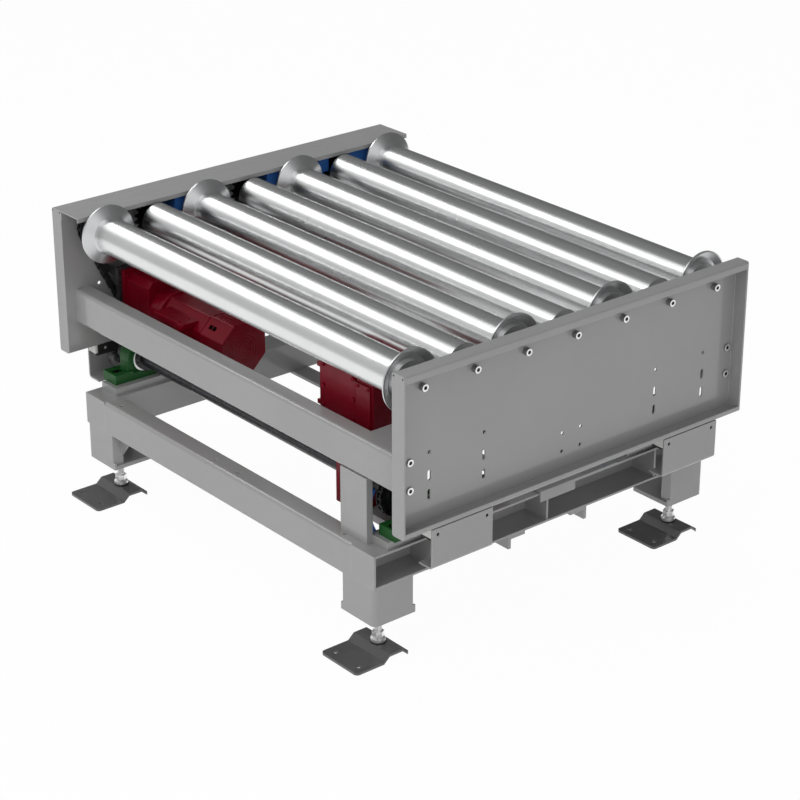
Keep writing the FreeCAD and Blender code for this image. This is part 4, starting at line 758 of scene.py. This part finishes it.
@dataclass
class DriveUnit:
    """The gearmotor that turns the rollers."""

    y: float = -0.335
    z: float = 0.475
    box: tuple = (-0.5485, -0.4415)
    cowl: tuple = (-0.2155, -0.1285)
    cowl_half: float = 0.062
    cowl_flat: float = 0.026
    lid: tuple = (-0.3675, -0.2515)
    lid_face: float = -0.421
    lid_top: float = 0.5169
    flange_circle: float = 0.0575
    sunk: float = 0.001
    rib_count: int = 6
    rib_step: float = 0.0088
    rib: tuple = (0.0016, 0.0026)
    ring: tuple = (0.0015, 0.0018)
    vent_places: tuple = (0.020, 0.034)
    vent_radius: float = 0.0078
    vent_depth: float = 0.0016
    grille_radii: tuple = (0.014, 0.022, 0.030, 0.038)
    gland: tuple = (0.016, -0.004)
    plug: tuple = (0.055, -0.040)

    def build(self) -> None:
        """Dresses the drive gearmotor and adds its ribs, painted vent shade, screws and gland."""
        dress(MOTOR_PAINT, "drive_gearbox", "drive_motor", "drive_fan_cowl", "drive_terminal_box")
        self.cowl_ribs()
        self.vents()
        self.screws()
        self.small_parts()

    def cowl_ribs(self) -> None:
        """Makes the ribs on the cowl's upper faces."""
        ribs = Piece("cowl_ribs", "deck", Slot.MOTOR, MOTOR_PAINT)
        start, finish = self.cowl[0] + 0.012, self.cowl[1] - 0.006
        top = self.z + self.cowl_half
        half, height = self.rib
        for k in range(self.rib_count):
            y = self.y - self.cowl_flat + 0.004 + k * self.rib_step
            ribs.block((start, y - half, top - self.sunk), (finish, y + half, top + height), 0.0006)
        half, height = self.ring
        for x in (self.cowl[0] + 0.004, self.cowl[1] - 0.003):
            ribs.block((x - half, self.y - self.cowl_flat, top - self.sunk),
                       (x + half, self.y + self.cowl_flat, top + height), 0.0005)
        ribs.done()

    def vents(self) -> None:
        """Makes near-black squares in the cowl's slanted face, painted shade standing in for its vents, and the
        grille in its end.
        """
        hole_shade = Piece("cowl_vent_shade", "deck", Slot.BLACK_PLASTIC, PAINTED_HOLE_SHADE)
        slant = Vector((0, -1, 1)).normalized()
        reach = (self.cowl_half + self.cowl_flat) / 2
        middle = Vector((0, self.y - reach, self.z + reach))
        square = Matrix.Rotation(math.radians(45), 3, slant)
        for shift in self.vent_places:
            place = middle + Vector((self.cowl[0] + shift, 0, 0)) - slant * 0.0012
            verts = hole_shade.drum(place, slant, self.vent_radius, self.vent_depth, 4)
            bmesh.ops.rotate(hole_shade.shape, verts=verts, cent=place, matrix=square)
        hole_shade.done()
        grille = Piece("cowl_grille", "deck", Slot.MOTOR, MOTOR_PAINT)
        for radius in self.grille_radii:
            grille.lathe((self.cowl[1], self.y, self.z), (1, 0, 0),
                         [(-0.0005, radius - 0.0012), (-0.0005, radius + 0.0012), (0.0009, radius + 0.0008),
                          (0.0009, radius - 0.0008)], 40)
        grille.done()

    def screws(self) -> None:
        """Makes the screws of the gearbox cover, the terminal lid and the flanges."""
        heads = Piece("drive_unit_screws", "deck", Slot.MOTOR, MOTOR_PAINT)
        for x in (self.box[0] + 0.022, self.box[1] - 0.010):
            for y in (self.y - 0.016, self.y + 0.016):
                heads.screw((x, y, self.z + 0.085), (0, 0, 1), 0.0050, 0.0040)
        for x in (self.lid[0] + 0.008, self.lid[1] - 0.024):
            for y in (self.lid_face + 0.007, self.lid_face + 0.036):
                heads.screw((x, y, self.lid_top), (0, 0, 1), 0.0036, 0.0022)
        for y in (self.y - 0.052, self.y + 0.052):
            for z in (self.z - 0.068, self.z + 0.074):
                heads.screw((self.box[0] + 0.012, y, z), (1, 0, 0), 0.0048, 0.0050)
        for k in range(8):
            turn = math.radians(22.5 + 45 * k)
            place = (self.box[1] + 0.044, self.y + self.flange_circle * math.cos(turn),
                     self.z + self.flange_circle * math.sin(turn))
            heads.screw(place, (-1, 0, 0), 0.0042, 0.0050)
        heads.done()

    def small_parts(self) -> None:
        """Makes the cable gland and the oil plug."""
        gland = Piece("drive_cable_gland", "deck", Slot.BLACK_PLASTIC, BLACK_PLASTIC)
        y, z = self.lid_face + self.gland[0], self.z + self.gland[1]
        gland.drum((self.lid[1] - self.sunk, y, z), (1, 0, 0), 0.0095, 0.007, 6)
        gland.drum((self.lid[1] + 0.006, y, z), (1, 0, 0), 0.0080, 0.008, 20, 0.8)
        gland.done(0.0006)
        plug = Piece("drive_oil_plug", "deck", Slot.STEEL, BARE_STEEL)
        x, z = self.box[0] + self.plug[0], self.z + self.plug[1]
        plug.drum((x, self.y - 0.0495, z), (0, -1, 0), 0.0085, 0.0035, 24)
        plug.drum((x, self.y - 0.0530, z), (0, -1, 0), 0.0065, 0.0050, 6)
        plug.done(0.0004)


@dataclass
class LiftUnit:
    """The lift gearmotor, crank shafts, bearing blocks and lift chain."""

    shaft: float = 0.358
    height: float = 0.3327
    block: float = 0.534
    block_half: float = 0.023
    chain: float = 0.455
    box_face: float = -0.402
    box_top: float = 0.604
    teeth: int = 18
    crank: float = 0.0270
    cover_columns: tuple = (0.258, 0.362)
    cover_rows: tuple = (0.488, 0.536, 0.584)
    flange_columns: tuple = (0.384, 0.418)
    flange_rows: tuple = (0.491, 0.577)
    glass: tuple = (0.338, 0.400)
    breather: tuple = (0.300, 0.050)

    def build(self) -> None:
        """Dresses the lift drive and adds seals, collars, screws and chain parts."""
        dress(MOTOR_PAINT, "lift_gearbox", "lift_motor")
        dress(FRAME_PAINT, "torque_arm")
        dress(SHAFT_STEEL, "lift_shaft_near", "lift_shaft_far")
        dress(BARE_STEEL, "crank_rollers_near", "crank_rollers_far")
        dress(SCREW_BLACK, "block_bolts")
        dress(CHAIN_STEEL, "lift_chain")
        dress(BLUE_PLASTIC, "chain_guards")
        dress(BLOCK_PAINT, "pillow_blocks")
        self.seals()
        self.collars()
        self.box_screws()
        centres = ((-self.shaft, self.height), (self.shaft, self.height))
        ChainRun("lift_chain", "base", self.chain, centres, self.teeth).build()

    def blocks(self) -> list[tuple]:
        """Gives the side and the place along Y of each bearing block."""
        return [(side, end * self.shaft) for side in (1, -1) for end in (1, -1)]

    def seals(self) -> None:
        """Makes the steel rings, the seals and the grease nipples of the bearing blocks."""
        rings = Piece("bearing_rings", "base", Slot.STEEL, BARE_STEEL)
        seals = Piece("bearing_seals", "base", Slot.BLACK_PLASTIC, SEAL_RUBBER)
        nipples = Piece("grease_nipples", "base", Slot.STEEL, SCREW_ZINC)
        for side, y in self.blocks():
            for way in (1, -1):
                face = (side * self.block + way * self.block_half, y, self.height)
                rings.lathe(face, (way, 0, 0),
                            [(-0.001, 0.0295), (-0.001, 0.0355), (0.0008, 0.0355), (0.0014, 0.0345),
                             (0.0014, 0.0300), (0.0006, 0.0295)], 48)
                seals.lathe(face, (way, 0, 0),
                            [(-0.001, 0.0212), (-0.001, 0.0293), (0.0004, 0.0293), (0.0010, 0.0270),
                             (0.0006, 0.0214)], 48)
            top = (side * self.block, y, self.height + 0.0475)
            nipples.drum(top, (0, 0, 1), 0.0040, 0.0035, 6)
            nipples.drum((top[0], top[1], top[2] + 0.0035), (0, 0, 1), 0.0024, 0.0045, 12, 0.7)
        rings.done()
        seals.done()
        nipples.done()

    def collars(self) -> None:
        """Makes the set collars of both shafts and the clamp screws of their cranks and sprockets."""
        for name, y in (("near", -self.shaft), ("far", self.shaft)):
            body = f"lift_shaft_body_{name}"
            rings = Piece(f"shaft_collars_{name}", body, Slot.BLACK_STEEL, SHAFT_STEEL)
            heads = Piece(f"shaft_screws_{name}", body, Slot.STEEL, BARE_STEEL)
            for side in (1, -1):
                inner = side * (self.block - self.block_half - 0.0035)
                rings.lathe((inner, y, self.height), (-side, 0, 0),
                            [(0.0, 0.0201), (0.0, 0.0290), (0.0010, 0.0300), (0.0110, 0.0300), (0.0120, 0.0290),
                             (0.0120, 0.0201)], 40)
                heads.screw((inner - side * 0.006, y, self.height + 0.0296), (0, 0, 1), 0.0030, 0.0022)
                arm = side * (self.block + self.crank + 0.0110)
                heads.screw((arm - side * 0.0002, y, self.height + 0.0260), (-side, 0, 0), 0.0030, 0.0020)
                heads.screw((side * (self.chain + 0.009), y + 0.0265, self.height), (side, 0, 0), 0.0028, 0.0018)
            rings.done()
            heads.done()

    def box_screws(self) -> None:
        """Makes the screws, the oil glass and the breather of the lift gearbox."""
        heads = Piece("lift_gearbox_screws", "base", Slot.MOTOR, MOTOR_PAINT)
        for x in self.cover_columns:
            for z in self.cover_rows:
                heads.screw((x, self.box_face, z), (0, -1, 0), 0.0046, 0.0035)
        for x in self.flange_columns:
            for z in self.flange_rows:
                heads.screw((x, self.box_face - 0.005, z), (0, -1, 0), 0.0038, 0.0026)
        heads.done()
        glass = Piece("lift_oil_glass", "base", Slot.STEEL, BARE_STEEL)
        glass.lathe((self.glass[0], self.box_face, self.glass[1]), (0, -1, 0),
                    [(-0.001, 0.0), (-0.001, 0.0110), (0.0030, 0.0110), (0.0036, 0.0104), (0.0036, 0.0075),
                     (0.0018, 0.0070), (0.0018, 0.0)], 32)
        glass.done()
        cap = Piece("lift_breather", "base", Slot.MOTOR, MOTOR_PAINT)
        x, y = self.breather[0], self.box_face + self.breather[1]
        cap.drum((x, y, self.box_top - 0.001), (0, 0, 1), 0.0080, 0.0045, 6)
        cap.drum((x, y, self.box_top + 0.0035), (0, 0, 1), 0.0065, 0.0040, 24, 0.85)
        cap.done(0.0004)


@dataclass
class BaseFrame:
    """The welded base: members, beams, legs and rails."""

    half: float = 0.558
    end: float = 0.5055
    top: float = 0.2655
    bottom: float = 0.1855
    depth: float = 0.080
    leg: float = 0.108
    bead: float = 0.0022
    bead_step: float = 0.004
    plate_edges: tuple = (0.120, 0.070)
    bracket_rows: tuple = (-0.010, 0.090, 0.190)

    def build(self) -> None:
        """Dresses the base frame and adds its weld beads and screws."""
        dress(FRAME_PAINT, "base_member_front", "base_member_rear", "base_beam_near", "base_beam_far",
              "lower_rails", "base_fittings", *[f"leg_{number}" for number in FEET])
        self.beads()
        self.bracket_screws()

    def bead_along(self, piece: Piece, start: tuple, finish: tuple) -> None:
        """Adds a round weld bead between two points, drawn out in small scales.

        Args:
            piece: The piece that it belongs to.
            start: One end.
            finish: The other end.
        """
        start, finish = Vector(start), Vector(finish)
        run = finish - start
        count = max(3, round(run.length / self.bead_step))
        step = run.length / count
        for k in range(count):
            piece.drum(start + run * (k / count), run, self.bead, step * 1.15, 6, 0.75)

    def beads(self) -> None:
        """Makes the weld beads between legs, members, beams and rails."""
        welds = Piece("base_welds", "base", Slot.FRAME, WELD_PAINT)
        runs = []
        for side in (1, -1):
            for end in (1, -1):
                x, y = side * self.half, end * self.end
                inner, low = x - side * self.depth, self.bottom - 0.001
                joint, corner, plate = y - end * 0.0495, x - side * 0.012, y - end * 0.0300
                runs += [((inner, joint, self.top - 0.012), (inner, joint, self.bottom + 0.030)),
                         ((corner, y - end * 0.006, self.bottom), (corner, y - end * 0.100, self.bottom)),
                         ((inner, plate, low), (x - side * (self.leg + 0.040), plate, low))]
        for end in (1, -1):
            for side in (1, -1):
                x = side * self.half
                near, far, z = x - side * 0.004, x - side * 0.076, self.bottom
                runs += [((near, end * shift, z), (far, end * shift, z)) for shift in self.plate_edges]
        for start, finish in runs:
            self.bead_along(welds, start, finish)
        welds.done(angle=60.0)

    def bracket_screws(self) -> None:
        """Makes the screws of the centre bracket."""
        heads = Piece("base_screws", "base", Slot.STEEL, SCREW_ZINC)
        for y in self.bracket_rows:
            heads.screw((self.half - 0.030, y, self.top + 0.006), (0, 0, 1), 0.0060, 0.0040)
        heads.done()


@dataclass
class LevellingFeet:
    """The four feet: a ramped plate with a threaded spindle."""

    x: float = 0.504
    y: float = 0.4515
    thread_low: float = 0.050
    thread_high: float = 0.157
    thread_pitch: float = 0.002
    radius: float = 0.008

    def build(self) -> None:
        """Dresses the foot plates and spindles and adds threads and rings."""
        dress(FOOT_STEEL, *[f"foot_plate_{number}" for number in FEET])
        dress(SCREW_ZINC, *[f"foot_spindle_{number}" for number in FEET])
        for number, (side, end) in enumerate(((1, -1), (1, 1), (-1, 1), (-1, -1)), 1):
            place = (side * self.x, end * self.y, 0.0)
            self.thread(number, place)
            self.socket_ring(number, place)

    def thread(self, number: int, place: tuple) -> None:
        """Makes the thread of one spindle.

        Args:
            number: The foot's number.
            place: The spindle's axis on the floor.
        """
        ridges = Piece(f"spindle_thread_{number}", f"foot_{number}", Slot.STEEL, SCREW_ZINC)
        root, crest, inside = self.radius + 0.00005, self.radius + 0.0007, self.radius - 0.0004
        outline = []
        for k in range(round((self.thread_high - self.thread_low) / self.thread_pitch)):
            low = self.thread_low + k * self.thread_pitch
            outline += [(low, root), (low + self.thread_pitch / 2, crest)]
        outline += [(self.thread_high, root), (self.thread_high, inside), (self.thread_low, inside)]
        ridges.lathe(place, (0, 0, 1), outline, 24)
        ridges.done(angle=20.0)

    def socket_ring(self, number: int, place: tuple) -> None:
        """Makes the rubber ring round one spindle's ball.

        Args:
            number: The foot's number.
            place: The spindle's axis on the floor.
        """
        ring = Piece(f"foot_ring_{number}", f"foot_{number}", Slot.BLACK_PLASTIC, SEAL_RUBBER)
        ring.lathe(place, (0, 0, 1), [(0.0198, 0.0165), (0.0198, 0.0192), (0.0212, 0.0192), (0.0226, 0.0180),
                                      (0.0226, 0.0165)])
        ring.done()


@dataclass
class Lamp:
    """A soft rectangular studio lamp."""

    name: str
    place: tuple
    aim: tuple
    width: float
    height: float
    watts: float
    mirrored: bool = True

    def build(self) -> bpy.types.Object:
        """Makes the lamp and aims it."""
        data = bpy.data.lights.new(self.name, "AREA")
        data.shape = "RECTANGLE"
        data.size = self.width
        data.size_y = self.height
        data.energy = self.watts
        made = stand(self.name, data)
        made.location = self.place
        made.rotation_euler = (Vector(self.aim) - Vector(self.place)).to_track_quat("-Z", "Y").to_euler()
        made.visible_glossy = self.mirrored
        return made


@dataclass
class Card:
    """A board beside the object that is seen only in reflections."""

    name: str
    place: tuple
    aim: tuple
    width: float
    height: float
    grey: float

    def build(self) -> bpy.types.Object:
        """Makes the board and turns it to the object."""
        turn = (Vector(self.aim) - Vector(self.place)).to_track_quat("Z", "Y").to_matrix().to_4x4()
        stretch = Matrix.Diagonal((self.width, self.height, 1.0, 1.0))
        made, tree = board(self.name, Matrix.Translation(self.place) @ turn @ stretch)
        tree.nodes.remove(tree.nodes["Principled BSDF"])
        glow = tree.nodes.new("ShaderNodeEmission")
        glow.inputs["Color"].default_value = (self.grey, self.grey, self.grey, 1.0)
        tree.links.new(glow.outputs["Emission"], tree.nodes["Material Output"].inputs["Surface"])
        made.visible_camera = False
        made.visible_diffuse = False
        made.visible_shadow = False
        made.visible_transmission = False
        return made


@dataclass
class Studio:
    """A plain white room: floor, surroundings, soft lamps and the camera of the photograph."""

    azimuth: float = 50.2275
    elevation: float = 24.4025
    lens: float = 106.774
    sensor: float = 36.0
    distance: float = 5.5443614
    aim_right: float = 0.0234068
    aim_down: float = 0.3410421
    floor_size: float = 14.0
    floor_grey: float = 0.95
    floor_glow: float = 0.97
    fill: float = 0.42
    lamps: list = field(default_factory=lambda: [
        Lamp("strip_lamp", (-2.5, -1.17, 2.87), (0.0, 0.0, 0.666), 3.4, 0.36, 17.0),
        Lamp("key_lamp", (0.6, -3.0, 2.9), (0.0, 0.0, 0.4), 2.4, 2.0, 40.0, False),
        Lamp("top_lamp", (-0.8, 0.3, 3.4), (0.0, 0.0, 0.6), 3.0, 1.6, 20.0, False),
        Lamp("front_lamp", (4.0, -1.9, 1.2), (0.6, -0.2, 0.4), 2.4, 1.6, 25.0, False),
    ])
    cards: list = field(default_factory=lambda: [
        Card("roof_card", (0.0, 0.95, 3.00), (0.0, 0.0, 0.666), 11.0, 3.0, 0.20),
        Card("far_card", (0.0, 2.55, 1.35), (0.0, 0.0, 0.666), 11.0, 2.4, 0.15),
        Card("near_card", (0.0, -2.44, 1.50), (0.0, 0.0, 0.666), 11.0, 2.7, 0.54),
    ])

    def camera(self) -> None:
        """Places the camera where the photograph was taken from."""
        turn = math.radians(self.azimuth)
        rise = math.radians(self.elevation)
        right = Vector((math.cos(turn), math.sin(turn), 0.0))
        back = Vector((math.sin(turn) * math.cos(rise), -math.cos(turn) * math.cos(rise), math.sin(rise)))
        up = back.cross(right)
        data = bpy.data.cameras.new("camera")
        data.lens = self.lens
        data.sensor_width = self.sensor
        made = stand("camera", data)
        centre = Vector((0.0, 0.0, ROLLER_AXIS_HEIGHT))
        made.location = centre + right * self.aim_right - up * self.aim_down + back * self.distance
        made.rotation_euler = (math.radians(90.0) - rise, 0.0, turn)
        bpy.context.scene.camera = made

    def seen_directly(self, tree: bpy.types.NodeTree) -> bpy.types.NodeSocket:
        """Gives 1 for rays from the camera, a mirror or glass, and 0 for the rays that light the object.

        Args:
            tree: The node tree that the answer is used in.

        Returns:
            The socket with the answer.
        """
        path = tree.nodes.new("ShaderNodeLightPath")
        total = path.outputs["Is Camera Ray"]
        for name in ("Is Glossy Ray", "Is Transmission Ray"):
            either = tree.nodes.new("ShaderNodeMath")
            either.operation = "MAXIMUM"
            tree.links.new(total, either.inputs[0])
            tree.links.new(path.outputs[name], either.inputs[1])
            total = either.outputs["Value"]
        return total

    def surroundings(self) -> None:
        """Makes the world white to the camera and a soft fill to the object."""
        world = bpy.data.worlds.new("white_room")
        bpy.context.scene.world = world
        world.use_nodes = True
        tree = world.node_tree
        strength = tree.nodes.new("ShaderNodeMapRange")
        tree.links.new(self.seen_directly(tree), strength.inputs["Value"])
        strength.inputs["To Min"].default_value = self.fill
        strength.inputs["To Max"].default_value = 1.0
        room = tree.nodes["Background"]
        room.inputs["Color"].default_value = WHITE
        tree.links.new(strength.outputs["Result"], room.inputs["Strength"])

    def floor(self) -> None:
        """Makes the pale floor, which keeps a light shadow."""
        _, tree = board("floor", Matrix.Diagonal((self.floor_size, self.floor_size, 1.0, 1.0)))
        skin = tree.nodes["Principled BSDF"]
        skin.inputs["Base Color"].default_value = (self.floor_grey, self.floor_grey, self.floor_grey, 1.0)
        skin.inputs["Roughness"].default_value = 0.9
        skin.inputs["Specular IOR Level"].default_value = 0.0
        glow = tree.nodes.new("ShaderNodeEmission")
        share = tree.nodes.new("ShaderNodeMath")
        share.operation = "MULTIPLY"
        tree.links.new(self.seen_directly(tree), share.inputs[0])
        share.inputs[1].default_value = self.floor_glow
        mixed = tree.nodes.new("ShaderNodeMixShader")
        tree.links.new(share.outputs["Value"], mixed.inputs["Fac"])
        tree.links.new(skin.outputs["BSDF"], mixed.inputs[1])
        tree.links.new(glow.outputs["Emission"], mixed.inputs[2])
        tree.links.new(mixed.outputs["Shader"], tree.nodes["Material Output"].inputs["Surface"])

    def build(self) -> None:
        """Makes the whole studio."""
        bpy.context.scene.view_settings.view_transform = "Standard"
        self.surroundings()
        self.floor()
        for item in (*self.lamps, *self.cards):
            item.build()
        self.camera()


def main() -> None:
    """Builds the conveyor's sub-assemblies and the studio, in order."""
    logging.basicConfig(level=logging.INFO, format="%(message)s")
    for part in (SideFrames(), RollerBed(), DriveUnit(), LiftUnit(), BaseFrame(), LevellingFeet(), Studio()):
        part.build()
        log.info("built %s", type(part).__name__)


if __name__ == "__main__":
    main()
